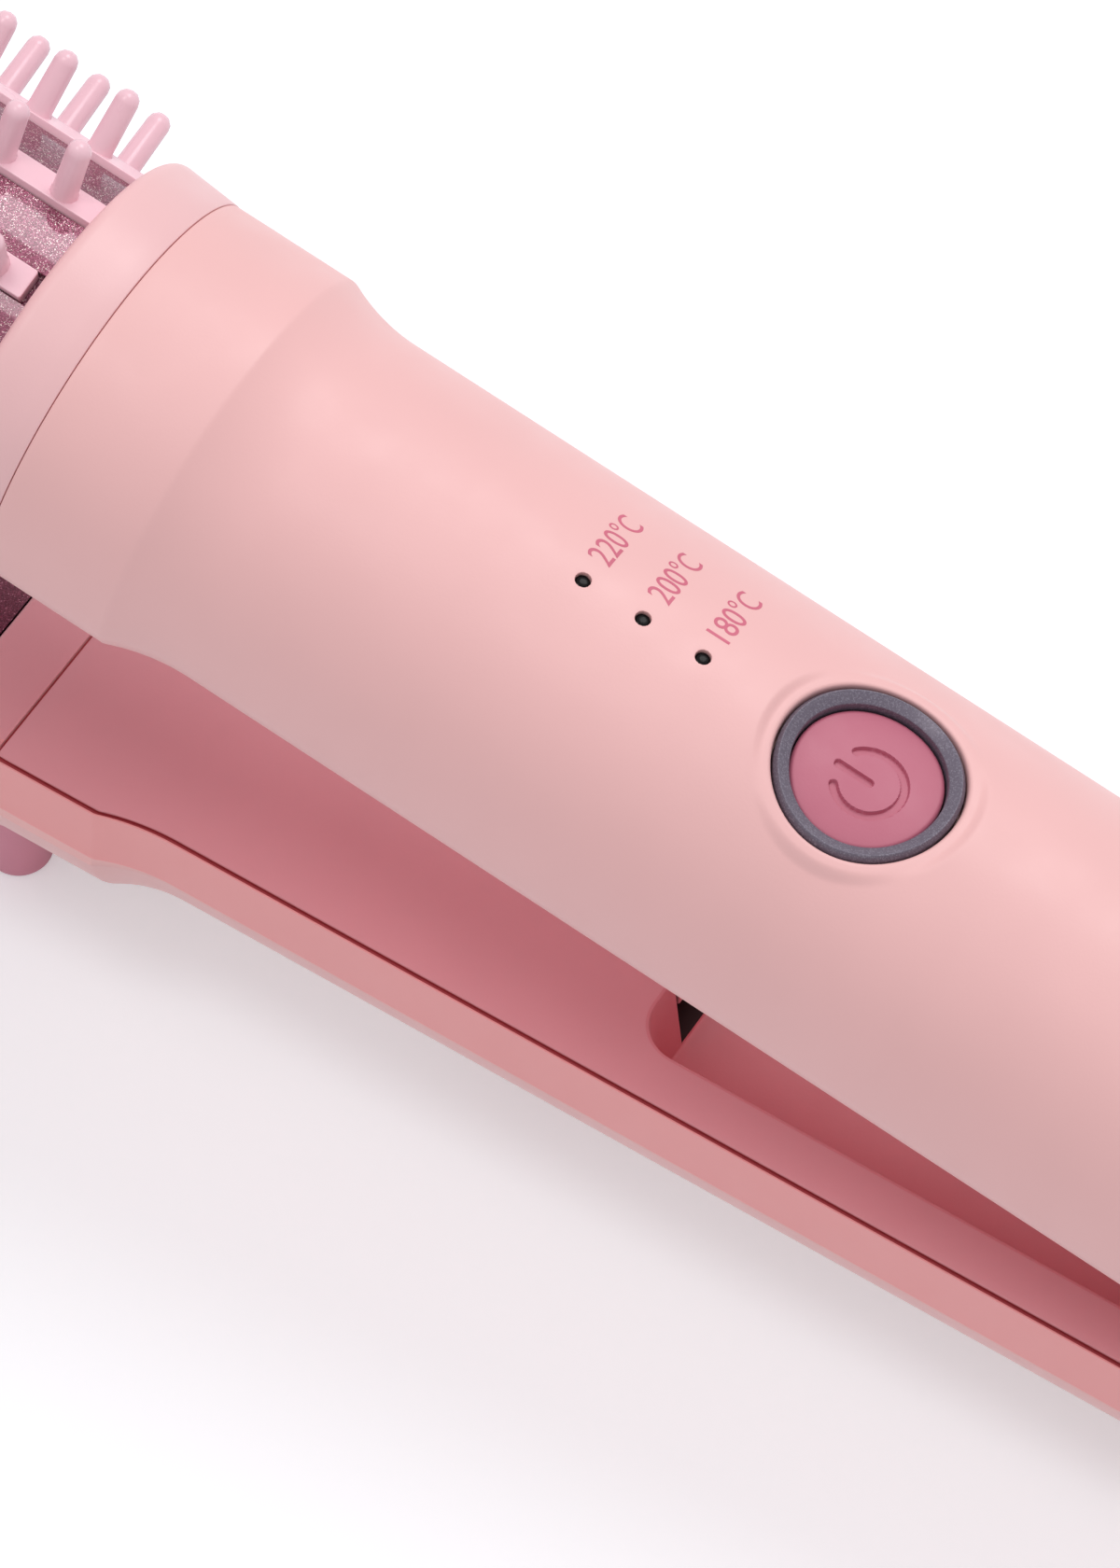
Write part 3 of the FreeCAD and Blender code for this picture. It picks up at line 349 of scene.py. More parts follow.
def boardFinish(finish, mask, track):
    # circuit board: lacquer with lighter tracks in a grid of cells
    tones = {"Color1": linear(mask), "Color2": linear(shade(mask, 1.12)), "Mortar": linear(track)}
    sizes = {"Scale": 160.0, "Mortar Size": 0.03, "Vector": finish.place}
    tracks = finish.add("TexBrick", {**sizes, **tones}).outputs
    return finish.wear(tracks["Color"], 0.35, Normal=finish.bump(tracks["Fac"], 0.00003))


# colour, roughness; drift of the colour, width and depth of the grain in metres, shine
plastics = {
    "shellPink": ((248, 198, 196), 0.46), "collarPink": ((247, 201, 202), 0.40),
    # the rim's salmon below is painted warm light bounced from the upper arm onto the same pink plastic
    "coverRose": ((245, 175, 182), 0.44), "rimPink": ((255, 177, 176), 0.46),
    # the seam rose below is painted shade: it darkens the shells' inner walls, the covers' hidden faces and
    # the seams between them
    "seamRose": ((196, 84, 92), 0.5), "trayRose": ((238, 154, 162), 0.44),
    # the near-black throat colour is painted shade round the lock's opening
    "throatDark": ((46, 14, 18), 0.7, 0.03), "lockPink": ((226, 160, 165), 0.42),
    "bristlePink": ((252, 210, 221), 0.24, 0.006, 0.0006, 0.000004),
    "tipPink": ((242, 196, 200), 0.36), "buttonRose": ((196, 108, 130), 0.48),
    "inkRose": ((214, 110, 134), 0.5, 0.03),
    # the lenses' near black, with little shine, is painted shade of the dark inside the light holes
    "lensBlack": ((14, 12, 14), 0.16, 0.05, 0.00025, 0.000008, 0.12),
    "glandRubber": ((196, 128, 140), 0.6, 0.04), "footRubber": ((226, 152, 170), 0.55, 0.03),
    "ceramic": ((232, 228, 218), 0.55, 0.03), "cream": ((225, 214, 190), 0.5, 0.03),
    "silicone": ((214, 206, 200), 0.5, 0.04), "blackPlastic": ((34, 33, 36), 0.42, 0.08),
    "lampWhite": ((238, 236, 226), 0.3, 0.03)}
# tones of the flakes, their size in metres and lean; roughness, metallic, coat and its roughness
glitters = {
    "ringGrey": (
        [(0.0, (97, 90, 105)), (0.7, (107, 100, 115)), (1.0, (132, 127, 140))],
        0.00010, 0.05, 0.42, 0.15, 0.15, 0.25),
    "barrelGlitter": (
        [(0.0, (90, 24, 48)), (0.58, (128, 48, 80)), (0.89, (160, 84, 114)), (0.96, (212, 180, 186)),
         (1.0, (250, 242, 228))], 0.00007, 0.3, 0.36, 0.45, 1.0, 0.08),
    "plateMaroon": (
        [(0.0, (84, 24, 46)), (0.7, (112, 42, 66)), (0.96, (138, 66, 90)), (1.0, (196, 130, 150))],
        0.00009, 0.18, 0.42, 0.5, 0.4, 0.2)}
# colour, roughness, lines for each metre along x, y and z
metals = {
    "steel": ((196, 196, 200), 0.3, (200, 4000, 4000)), "brass": ((205, 178, 120), 0.32, (3000, 3000, 3000)),
    "aluminium": ((205, 206, 210), 0.36, (300, 6000, 6000))}
# lacquer, tracks
boards = {"boardGreen": ((28, 92, 60), (70, 140, 96))}
paint = Form()
for make, rows in ((mouldedFinish, plastics), (glitterFinish, glitters), (metalFinish, metals),
                   (boardFinish, boards)):
    for name, row in rows.items():
        paint[name] = make(Finish(bpy.data.materials.new(name)), *row)
print("finishes made")

# handle shells
shellForm = Form(
    radius=arms(18.25, 17.4), bell=arms(20.0, 19.4), ridge=arms(-184.5, -184.2),
    parting=arms(-196.6, -195.3), rear=arms(-14.4, -10.15), tailRadius=18.0, tailBlend=(-72.0, -22.0),
    neck=7.6, wall=2.0, edge=3.0, step=1.0, rimStep=0.25, neckStep=0.5, ridgeBlend=0.22, endRound=0.08)
# rim of each arm: the arch ends at turn, then (inset, level) down to the joint plane; a flat band with a
# rebate for the cover below, a smooth run-out of the arch above; the bell leans in
rimForm = {
    "lower": Form(
        turn=radians(78.0), top=6.62, lean=0.8, leanTop=0.5, cuts=[0, 0.1, 0.1, 0], bends=4,
        outside=[(0.38, 6.62), (0.44, 6.5), (0.48, 0.05), (0.66, 0.05)],
        inside=[(2.0, 6.2), (2.0, 2.6), (0.66, 2.5), (0.66, 0.05)]),
    "upper": Form(
        turn=radians(84.0), top=4.9, lean=0.0, leanTop=0.0, cuts=[0, 1.8, 0.3, 0], bends=8,
        outside=[(0.1, 4.9), (0.0, 3.0), (1.45, 0.05), (2.0, 0.05)],
        inside=[(2.0, 4.5), (2.0, 3.0), (2.0, 1.5), (2.0, 0.05)])}
buttonForm = Form(
    x=-122.7, radius=6.62, face=19.35, depth=2.6, edge=0.4, stem=1.6, stemEnd=14.9, around=320, rings=104,
    window=14.0, seatTop=20.75, seatRings=36, crown=29.0, hole=8.33, lip=0.85, flatTo=9.2, blendTo=10.2,
    ledge=17.6, ledgeRound=0.1, throat=7.23, throatRound=0.2, ledgeUnder=16.0, boss=9.2)
pilotForm = Form(
    x=(-151.5, -145.5, -139.5), window=2.0, hole=0.72, lip=0.12, sunk=0.02, recess=0.35, gap=0.05,
    base=11.0, dome=0.12)
slotForm = Form(x=(-146.9, -136.1), half=2.9)
shellFinishes = (paint.shellPink, paint.rimPink, paint.seamRose)
# inner walls in the deep seam rose: painted shade inside the shell and in its seams
insideShadeFinish = 2


def shellFlare(x, arm):
    # bell, and a hollow neck that runs out into the handle; the ridge is blended
    form, rise = shellForm, shellForm.bell[arm] - shellForm.radius[arm]
    hollow = (form.neck ** 2 + rise ** 2) / (2 * rise)
    shifts = linspace(-form.ridgeBlend, form.ridgeBlend, 9)
    left = form.neck - clip(x[:, None] + shifts - form.ridge[arm], 0, form.neck)
    return (hollow - sqrt(hollow ** 2 - left ** 2)).mean(1)


def shellRadius(x, arm):
    # handle that meets the tail, with the bell's flare and small rounds at both ends
    form, handle = shellForm, shellForm.radius[arm]
    meets = (form.tailRadius - handle) * smoothStep(*form.tailBlend, x)
    drawn = roundOff(np.minimum(x - x[0], x[-1] - x), form.endRound)
    return handle + meets + shellFlare(x, arm) - drawn


def rimLean(x, arm):
    # how far the rim of the bell leans in at the joint plane
    rise = shellForm.bell[arm] - shellForm.radius[arm]
    return rimForm[arm].lean * shellFlare(x, arm) / rise


def shellStations(arm, rear, *marks):
    form, front, ridge = shellForm, shellForm.parting[arm], shellForm.ridge[arm]
    into = form.endRound * array([0.15, 0.5, 1])
    neck = np.arange(ridge - 2, ridge + form.neck + 2, form.neckStep)
    crease = ridge + form.ridgeBlend * linspace(-1, 1, 7)
    return stations(front, rear, form.step, *(front + into), *(rear - into), *neck, *crease, *marks)


def rimRows(arm, side):
    # rim as rows of (inset, level, share of the lean); both sides have as many rows
    form = rimForm[arm]
    outside = softened(form.outside, form.cuts, form.bends)[1:]
    line = outside if side == "outside" else array(form.inside)
    t, knots = linspace(0, 1, len(outside)), linspace(0, 1, len(line))
    inset, level = [np.interp(t, knots, part) for part in line.T]
    return np.c_[inset, level, 1 - (1 - form.leanTop) * level / form.top]


def shellPiece(arm, openings, arcMarks):
    # outer and inner wall, closed all round, with openings cut out of the grid
    form, walls = shellForm, []
    x = shellStations(arm, form.rear[arm], *[spot for span, _ in openings for spot in span])
    quarter = form.radius[arm] * rimForm[arm].turn
    arc = stations(-quarter, quarter, form.step, form.rimStep - quarter, quarter - form.rimStep, *arcMarks)
    angles, radius, lean = arc / form.radius[arm], shellRadius(x, arm)[:, None], rimLean(x, arm)[:, None]
    for wall, name in ((0.0, "outside"), (form.wall, "inside")):
        # rim up one side, arch over the top, rim down the other side
        rim = rimRows(arm, name)
        side, arched = radius - rim[:, 0] - lean * rim[:, 2], radius - wall
        level = np.broadcast_to(rim[:, 1], side.shape)
        y = np.c_[-side[:, ::-1], arched * sin(angles), side]
        walls.append(sections(x, y, np.c_[level[:, ::-1], form.edge + arched * cos(angles), level]))
    keep, windows = cutWindows(walls, openings, x, arc, len(rim))
    columns = np.arange(keep.shape[1])
    # the lower arm's rim band is painted salmon: warm light bounced from the upper arm
    bounceBand = (np.minimum(columns, columns[::-1]) < len(rim) - 1) & (arm == "lower")
    surfaces = [(*grid(walls[0], keep=keep), np.broadcast_to(bounceBand, keep.shape)[keep]),
                wearing(grid(walls[1], keep=keep), insideShadeFinish)]
    return surfaces + closing(*walls), windows


def archLevel(radius):
    return lambda x, y: shellForm.edge + sqrt(radius ** 2 - y ** 2)


def crowned(points, base, top):
    # levels from base up to top bow down to both sides, like the handle
    share = clip((points[..., 2] - base) / (top - base), 0, 1)
    sunk = points.copy()
    sunk[..., 2] -= share * points[..., 1] ** 2 / (2 * buttonForm.crown)
    return sunk


def seatLevel(x, y):
    # bowed seat of the button that runs out into the shell
    form = buttonForm
    blend = smoothStep(form.flatTo, form.blendTo, np.hypot(x - form.x, y))
    seat = form.seatTop - y ** 2 / (2 * form.crown)
    return seat + blend * (archLevel(shellForm.radius["upper"])(x, y) - seat)


def pit(top, down, under):
    return [grid(part, True) for part in (top, down, under)] + [strip(down[-1], under[-1], True)]


def upperShell():
    form, pilot, radius, wall = buttonForm, pilotForm, shellForm.radius["upper"], shellForm.wall
    spots = [(form.x, form.window)] + [(x, pilot.window) for x in pilot.x]
    openings = [((x - half, x + half), (-half, half)) for x, half in spots]
    surfaces, windows = shellPiece("upper", openings, [*openings[0][1], *openings[1][1]])
    flat = form.hole + form.lip
    well = softened(
        [(flat, form.seatTop), (form.hole, form.seatTop), (form.hole, form.ledge), (form.throat, form.ledge),
         (form.throat, form.ledgeUnder), (form.boss, form.ledgeUnder)],
        [0, form.lip, form.ledgeRound, form.throatRound, form.throatRound, 0])
    wide, crest = pilot.hole + pilot.lip, shellForm.edge + radius
    lip = softened([(wide, crest - pilot.sunk), (pilot.hole, crest - pilot.sunk),
                    (pilot.hole, crest - wall / 2)], [0, 0.1, 0])
    for (x, _), (outside, inside) in zip(spots, windows):
        core = (x, 0, 0, 0)
        if x == form.x:
            top = corePatch(outside, core, flat, form.seatRings, seatLevel)
            down = crowned(coreRows(outside, core, well), form.ledge, form.seatTop)
            under = corePatch(inside, core, form.boss, 4, archLevel(radius - wall))
        else:
            top = corePatch(outside, core, wide, 3, archLevel(radius))
            down = coreRows(outside, core, lip)
            down[0] = top[-1]
            under = corePatch(inside, core, pilot.hole, 2, archLevel(radius - wall))
        surfaces += pit(top, down, under)
    addPiece("upperShell", surfaces, "upper", shellFinishes, ["upper_shell"], 50)


def lowerShell():
    radius = shellForm.radius["lower"]
    arcHalf = radius * np.arcsin(slotForm.half / radius)
    surfaces, windows = shellPiece("lower", [(slotForm.x, (-arcHalf, arcHalf))], (-arcHalf, arcHalf))
    surfaces.append(strip(*windows[0], True))
    addPiece("lowerShell", surfaces, "lower", shellFinishes, ["lower_shell"], 50)


upperShell()
lowerShell()
print("shells made")

# inner covers
coverForm = Form(
    drop=0.3, back=2.1, inset=arms(2.6, 1.26), gap=0.2, round=0.15, skirtZ=0.8, skirt=(0.3, 0.46),
    rear=arms(-14.4, -12.2), core=(-101.5, 0.0, 27.0, 7.4), window=(33.0, 13.4), step=1.0, screwX=-42.0,
    screwY=8.0, screwHalf=3.5, sink=2.15, sinkRound=0.2, shank=1.15, sinkDepth=1.3)
# back and skirt of each cover in the deep seam rose: painted shade in the gap round the cover
coverFinishes = (paint.coverRose, paint.seamRose, paint.throatDark, paint.trayRose)
faceFinish, hiddenShadeFinish, throatShadowFinish, trayShadeFinish = range(4)
# pocket of each cover as (distance from the core, level), with the lock's opening in its front wall; the
# lower tray's walls and floor wear a deeper rose, painted shade of the recess
pocketForm = {
    "lower": Form(
        face=[(4.3, 0.3), (4.0, 0.3), (3.8, 2.1), (2.75, 9.8), (2.7, 10.2), (0.0, 10.2)],
        back=[(5.6, 2.1), (5.6, 9.8), (5.6, 11.8), (0.0, 11.8)], faceCuts=[0, 0.22, 0, 0, 0.35, 0],
        backCuts=[0, 0, 0.8, 0], open=(2.1, 9.8), openHalf=4.4, finish=trayShadeFinish),
    "upper": Form(
        face=[(3.9, 0.3), (3.2, 0.3), (3.2, -2.1), (3.2, -5.1), (3.2, -6.0), (0.0, -6.0)],
        back=[(2.2, 2.1), (1.6, 2.1), (1.6, -2.1), (1.6, -5.1), (0.0, -5.1)],
        faceCuts=[0, 0.7, 0, 0, 0.8, 0], backCuts=[0, 0.5, 0, 0, 0], open=(-5.1, -2.1), openHalf=4.2,
        finish=faceFinish)}


def pocketWalls(loops, core, form):
    # both sides of the pocket's wall, with the lock's opening through its front; the opening's rim strip is
    # near black, painted shade of the dark void behind
    surfaces, rims = [], []
    low, high = form.open
    for loop, side in zip(loops, ("face", "back")):
        rows = coreRows(loop, core, softened(form[side], form[side + "Cuts"]))
        middle = (rows[:-1] + np.roll(rows[:-1], -1, 1) + rows[1:] + np.roll(rows[1:], -1, 1)) / 4
        hole = (middle[..., 0] < core[0] - core[2]) & (np.abs(middle[..., 1]) < form.openHalf)
        hole &= (middle[..., 2] > low) & (middle[..., 2] < high)
        surfaces.append(wearing(grid(rows, True, ~hole), form.finish))
        line, columns = np.flatnonzero(hole.any(1))[0], np.flatnonzero(hole.any(0))
        across = np.append(columns, columns[-1] + 1)
        rims.append(np.r_[rows[line, across], rows[line + 1, across[::-1]]])
    return surfaces + [wearing(strip(*rims, True), throatShadowFinish)]


def coverPiece(arm, extra=()):
    # flat cover in the outline of its shell, with its pocket or hump and two screw holes
    form, core, pocket = coverForm, coverForm.core, pocketForm[arm]
    halfX, halfY = form.window
    screwX, screwY = [(spot - form.screwHalf, spot + form.screwHalf) for spot in (form.screwX, form.screwY)]
    pocketX = (core[0] - halfX, core[0] + halfX)
    front = shellForm.parting[arm] + form.gap
    x = shellStations(arm, form.rear[arm], front, *pocketX, core[0] - core[2], core[0] + core[2], *screwX)
    x = x[x >= front]
    aside = (core[3], pocket.openHalf, *screwY)
    inner = stations(-halfY, halfY, form.step, *aside, *[-mark for mark in aside])
    wide = (shellRadius(x, arm) - rimLean(x, arm) - form.inset[arm])[:, None]
    margin = array([1.0, 0.5, 0.15, 0.0]) * form.round
    between = halfY + (wide - margin[0] - halfY) * array([0.33, 0.66])
    side = np.c_[between, wide - margin]
    y = np.c_[-side[:, ::-1], np.tile(inner, (len(x), 1)), side]
    fromSide = np.r_[margin[::-1], np.full(y.shape[1] - 2 * len(margin), 1.0), margin]
    away = np.minimum(np.minimum(x - x[0], x[-1] - x)[:, None], fromSide)
    face, back = sections(x, y, form.drop + roundOff(away, form.round)), sections(x, y, form.back)
    openings = [(pocketX, (-halfY, halfY)), (screwX, (-screwY[1], -screwY[0])), (screwX, screwY)]
    keep, windows = cutWindows((face, back), openings, x, inner, side.shape[1])
    surfaces = [grid(face, keep=keep), wearing(grid(back, keep=keep), hiddenShadeFinish)]
    out = np.zeros(face.shape)
    out[0, :, 0] = -form.skirt[0]
    out[:, [0, -1], 1] = array([-1, 1]) * form.skirt[1]
    edge, push, under = [edgeLoop(points) for points in (face, out, back)]
    step = edge.copy()
    step[:, 2] = form.skirtZ
    skirt = stack([edge, step, step + push, under + push, under])
    surfaces.append(wearing(grid(skirt, True), hiddenShadeFinish))
    levels = {"face": lambda x, y: form.drop, "back": lambda x, y: form.back}
    for loop, side in zip(windows[0], levels):
        surfaces.append(grid(corePatch(loop, core, pocket[side][0][0], 2, levels[side]), True))
    surfaces += pocketWalls(windows[0], core, pocket)
    floorX, floorY = x[np.abs(x - core[0]) < core[2] + tiny], inner[np.abs(inner) < core[3] + tiny]
    # floors in the pocket's finish; the lower tray's deeper rose is painted shade of the recess
    for side in levels:
        floor = sections(floorX, np.tile(floorY, (len(floorX), 1)), pocket[side][-1][1])
        surfaces.append(wearing(grid(floor), pocket.finish))
    sinkWide = form.sink + form.sinkRound
    sink = softened([(sinkWide, form.drop), (form.sink, form.drop), (form.sink, form.sinkDepth),
                     (form.shank, form.sinkDepth), (form.shank, form.back)], [0, form.sinkRound, 0, 0, 0])
    for way, (loop, under) in zip((-1, 1), windows[1:]):
        spot = (form.screwX, way * form.screwY, 0, 0)
        surfaces += [grid(rows, True) for rows in (
            corePatch(loop, spot, sinkWide, 2, levels["face"]), coreRows(loop, spot, sink),
            corePatch(under, spot, form.shank, 2, levels["back"]))]
    addPiece(f"{arm}Cover", surfaces + list(extra), arm, coverFinishes, [f"{arm}_cover"], 40)


knuckleForm = Form(
    radius=5.2, eye=2.06, half=3.0, round=0.4, around=48, tongue=(-16.0, -4.4), tongueZ=(0.3, 2.1),
    tongueCorner=0.3, tongueEdge=0.2)


def knuckle():
    # eye of the hinge, and the tongue that carries it
    form = knuckleForm
    half, outer, bore = form.half, form.radius, form.eye
    profile = softened([(bore, -half), (outer, -half), (outer, half), (bore, half), (bore, -half)],
                       [0, form.round, form.round, 0, 0])
    tongue = roundedBlock(form.tongue, half, form.tongueZ, form.tongueCorner, form.tongueEdge)
    return [lathe(profile, (0, 0, 0), form.around, "y"), tongue]


coverPiece("lower")
coverPiece("upper", knuckle())
print("covers made")

# collars
collarForm = Form(
    front=arms(-203.3, -202.1), gap=0.09, step=0.06, flare=0.62, flat=0.3, bore=17.8, boreFlat=2.1,
    faceNear=0.05, nose=1.3, flatNose=0.5, backRound=0.08)
moonForm = Form(arch=73, across=17)


def halfMoon(arm, x, radius, flat, lean=0.0):
    # closed section: arch, the arm's rim and a flat face across, one row for each station
    edge, rim, turn = shellForm.edge, rimRows(arm, "outside"), rimForm[arm].turn
    angles = linspace(-turn, turn, moonForm.arch)
    radius, flat = radius[:, None], flat[:, None]
    side = radius - rim[:, 0] - lean * rim[:, 2]
    sideZ = flat + (edge + radius * cos(turn) - flat) * rim[:, 1] / rimForm[arm].top
    across = side[:, -1:] * linspace(1, -1, moonForm.across)[1:-1]
    y = np.c_[radius * sin(angles), side, across, -side[:, ::-1]]
    z = np.c_[edge + radius * cos(angles), sideZ, np.broadcast_to(flat, across.shape), sideZ[:, ::-1]]
    return sections(x, y, z)


def collarPiece(arm):
    # ring that widens a little to its rounded nose
    form, lean = collarForm, rimForm[arm].lean
    front, back = form.front[arm], shellForm.parting[arm] - form.gap
    nose = front + form.nose * (1 - cos(linspace(0, pi / 2, 9)))
    tail = back - form.backRound * (1 - cos(linspace(pi / 2, 0, 4)))
    x = np.r_[nose, linspace(nose[-1], tail[0], 4)[1:-1], tail]
    ahead, behind = x - front, back - x
    radius = shellForm.bell[arm] + form.step + form.flare * behind / (back - front)
    radius -= roundOff(ahead, form.nose) + roundOff(behind, form.backRound)
    flat = form.flat + roundOff(ahead, form.flatNose) + roundOff(behind, form.backRound)
    outer = halfMoon(arm, x, radius, flat, lean)
    inner = halfMoon(arm, array([front, back]), np.full(2, form.bore), np.full(2, form.boreFlat), lean)
    # flat face in the cover's colour; lower rim in the same salmon as the lower shell's rim band, painted
    # warm light bounced from the upper arm
    y, z = outer[:-1, :, 1], outer[:-1, :, 2]
    middle = (np.abs(z - flat[:-1, None]) < form.faceNear) & (np.abs(y) < form.bore)
    beside = (z < rimForm[arm].top) & ~middle & (arm == "lower")
    surfaces = [(*grid(outer, True), (middle + 2 * beside).ravel()), grid(inner, True)]
    addPiece(f"{arm}Collar", surfaces + closing(outer, inner, True), arm,
             (paint.collarPink, paint.coverRose, paint.rimPink), [f"{arm}_collar"], 50)


# barrels, with a groove for every rail
barrelForm = Form(
    radius=17.6, bore=15.7, front=-315.3, back=-199.3, slices=9, axis=3.0, rows=6, rowStep=30.0,
    grooveHalf=1.55, grooveDepth=1.1, lip=0.08, arcStep=2.5)


def rowAngle(index):
    # angle of a rail from the middle of the half barrel
    return radians(((barrelForm.rows - 1) / 2 - index) * barrelForm.rowStep)


def turnedAside(across, height, angle):
    # spots beside and above the barrel's axis, turned about it -> (y, z) of the arm
    y = across * cos(angle) + height * sin(angle)
    return np.c_[y, barrelForm.axis + height * cos(angle) - across * sin(angle)]


def barrelPiece(arm):
    form, radius, half, lip = barrelForm, barrelForm.radius, barrelForm.grooveHalf, barrelForm.lip
    floor, step = radius - form.grooveDepth, radians(form.arcStep)
    shoulder = sqrt(radius ** 2 - (half + lip) ** 2)
    side = array([(half, floor), (half, shoulder - lip), (half + lip, shoulder)])
    groove = np.r_[side[::-1] * (-1, 1), side]
    reach = np.arcsin((half + lip) / radius)
    chain, last = [], -pi / 2
    for angle in sorted(rowAngle(index) for index in range(form.rows)):
        chain.append(turnedAside(0.0, radius, stations(last, angle - reach, step)[:-1]))
        chain.append(turnedAside(*groove.T, angle))
        last = angle + reach
    outside = concatenate([*chain, turnedAside(0.0, radius, stations(last, pi / 2, step)[1:])])
    inside = turnedAside(0.0, form.bore, np.arctan2(outside[:, 0], outside[:, 1] - form.axis))
    x = linspace(form.front, form.back, form.slices)
    walls = [carried(line, x) for line in (outside, inside)]
    addPiece(f"{arm}Barrel", [grid(wall) for wall in walls] + closing(*walls), arm, [paint.barrelGlitter],
             [f"{arm}_barrel"], 25)


# rails with their bristles
railForm = Form(
    front=-315.15, gap=0.15, half=1.45, rise=0.6, corner=0.25, edge=0.12, bend=3, shortRow=3, short=0.9)
bristleForm = Form(
    pitch=6.35, first=3.9, stagger=0.65, staggerRows=3, height=6.05, base=1.2, tip=1.12, flare=0.12,
    flareFrom=0.02, flareTo=0.3, sunk=0.4, sides=12, dome=(28, 58, 90))


def bristleProfile():
    # foot with a small flare, taper, dome: (radius, height above the rail)
    form = bristleForm
    foot, shoulder, dome = form.base + form.flare, form.height - form.tip, radians(form.dome)
    taper = [(0.0, -form.sunk), (foot, -form.sunk), (foot, form.flareFrom), (form.base, form.flareTo),
             (form.tip, shoulder)]
    return np.r_[taper, np.c_[form.tip * cos(dome), shoulder + form.tip * sin(dome)]]


def railPiece(arm, index):
    form, bristle, crown = railForm, bristleForm, barrelForm.radius + railForm.rise
    back = collarForm.front[arm] - form.gap - (form.short if index == form.shortRow else 0.0)
    floor = barrelForm.radius - barrelForm.grooveDepth
    span = (form.front, back)
    surfaces = [roundedBlock(span, form.half, (floor, crown), form.corner, form.edge, form.bend)]
    shift = bristle.first + bristle.stagger * ((index + 1) % bristle.staggerRows)
    spots = np.arange(collarForm.front["upper"] - shift, barrelForm.front + 2 * bristle.base, -bristle.pitch)
    surfaces += [lathe(bristleProfile(), (spot, 0, crown), bristle.sides) for spot in spots]
    turned = [(np.c_[corners[:, 0], turnedAside(corners[:, 1], corners[:, 2], rowAngle(index))], quads)
              for corners, quads in surfaces]
    addPiece(f"{arm}Rail{index + 1}", turned, arm, [paint.bristlePink],
             [f"{arm}_bristle_rail_{index + 1}"])


# tip caps
tipForm = Form(start=-315.45, end=-325.3, radius=17.6, round=8.0, chamfer=0.15, lipLevel=0.6, middle=5.0)


def tipPiece(arm):
    # half dome with a flat end and a lip down to the plate
    form, bend = tipForm, linspace(0, pi / 2, 17)
    x = np.r_[form.start, form.start - form.chamfer, form.end + form.round * (1 - sin(bend))]
    radius = np.r_[form.radius - form.chamfer, form.radius, form.radius - form.round * (1 - cos(bend))]
    rows = halfMoon(arm, x, radius, np.full(len(x), form.lipLevel))
    front, back = [np.where([True, False, False], rows[[end]], [0.0, 0.0, form.middle]) for end in (0, -1)]
    addPiece(f"{arm}Tip", [grid(np.r_[front, rows, back], True)], arm, [paint.tipPink],
             [f"{arm}_tip_cap"])


# heated plates
plateForm = Form(
    front=-315.15, gap=0.15, step=14.0, half=15.0, face=0.6, sheet=1.8, flange=5.0,
    cuts=[0.2, 1.2, 1.2, 0.2, 0.2, 0.3, 0.3, 0.2], bends=6)


def platePiece(arm):
    # channel with rounded outer corners along the barrel
    form, half, face, top = plateForm, plateForm.half, plateForm.face, plateForm.flange
    inner, fold = half - form.sheet, face + form.sheet
    outline = [(-half, top), (-half, face), (half, face), (half, top), (inner, top), (inner, fold),
               (-inner, fold), (-inner, top)]
    section = softened(outline, form.cuts, form.bends, True)
    rows = carried(section, stations(form.front, collarForm.front[arm] - form.gap, form.step))
    y, z = section.T
    middle = half - form.sheet / 2
    spineZ = np.where(np.abs(y) > inner, z, face + form.sheet / 2)
    surfaces = [grid(rows, True)]
    for end in (0, -1):
        cap = np.c_[rows[end, :, 0], clip(y, -middle, middle), spineZ]
        surfaces.append(strip(rows[end], cap, True))
    addPiece(f"{arm}Plate", surfaces, arm, [paint.plateMaroon], [f"{arm}_plate"], 40)


for arm in ("upper", "lower"):
    collarPiece(arm)
    barrelPiece(arm)
    tipPiece(arm)
    platePiece(arm)
    for index in range(barrelForm.rows):
        railPiece(arm, index)
print("barrels made")

# power button, its ring, pilot lights and the printed temperatures
ringForm = Form(
    outer=8.15, edge=7.8, inner=6.75, top=20.85, bevel=0.55, inside=20.1, base=17.6,
    cuts=[0, 0.1, 0.1, 0.12, 0.12, 0], bends=5, around=160)
signForm = Form(
    radius=3.05, stroke=0.72, soft=0.05, depth=0.4, gap=radians(38.0), barTo=3.05, offset=(0.4, -0.42))


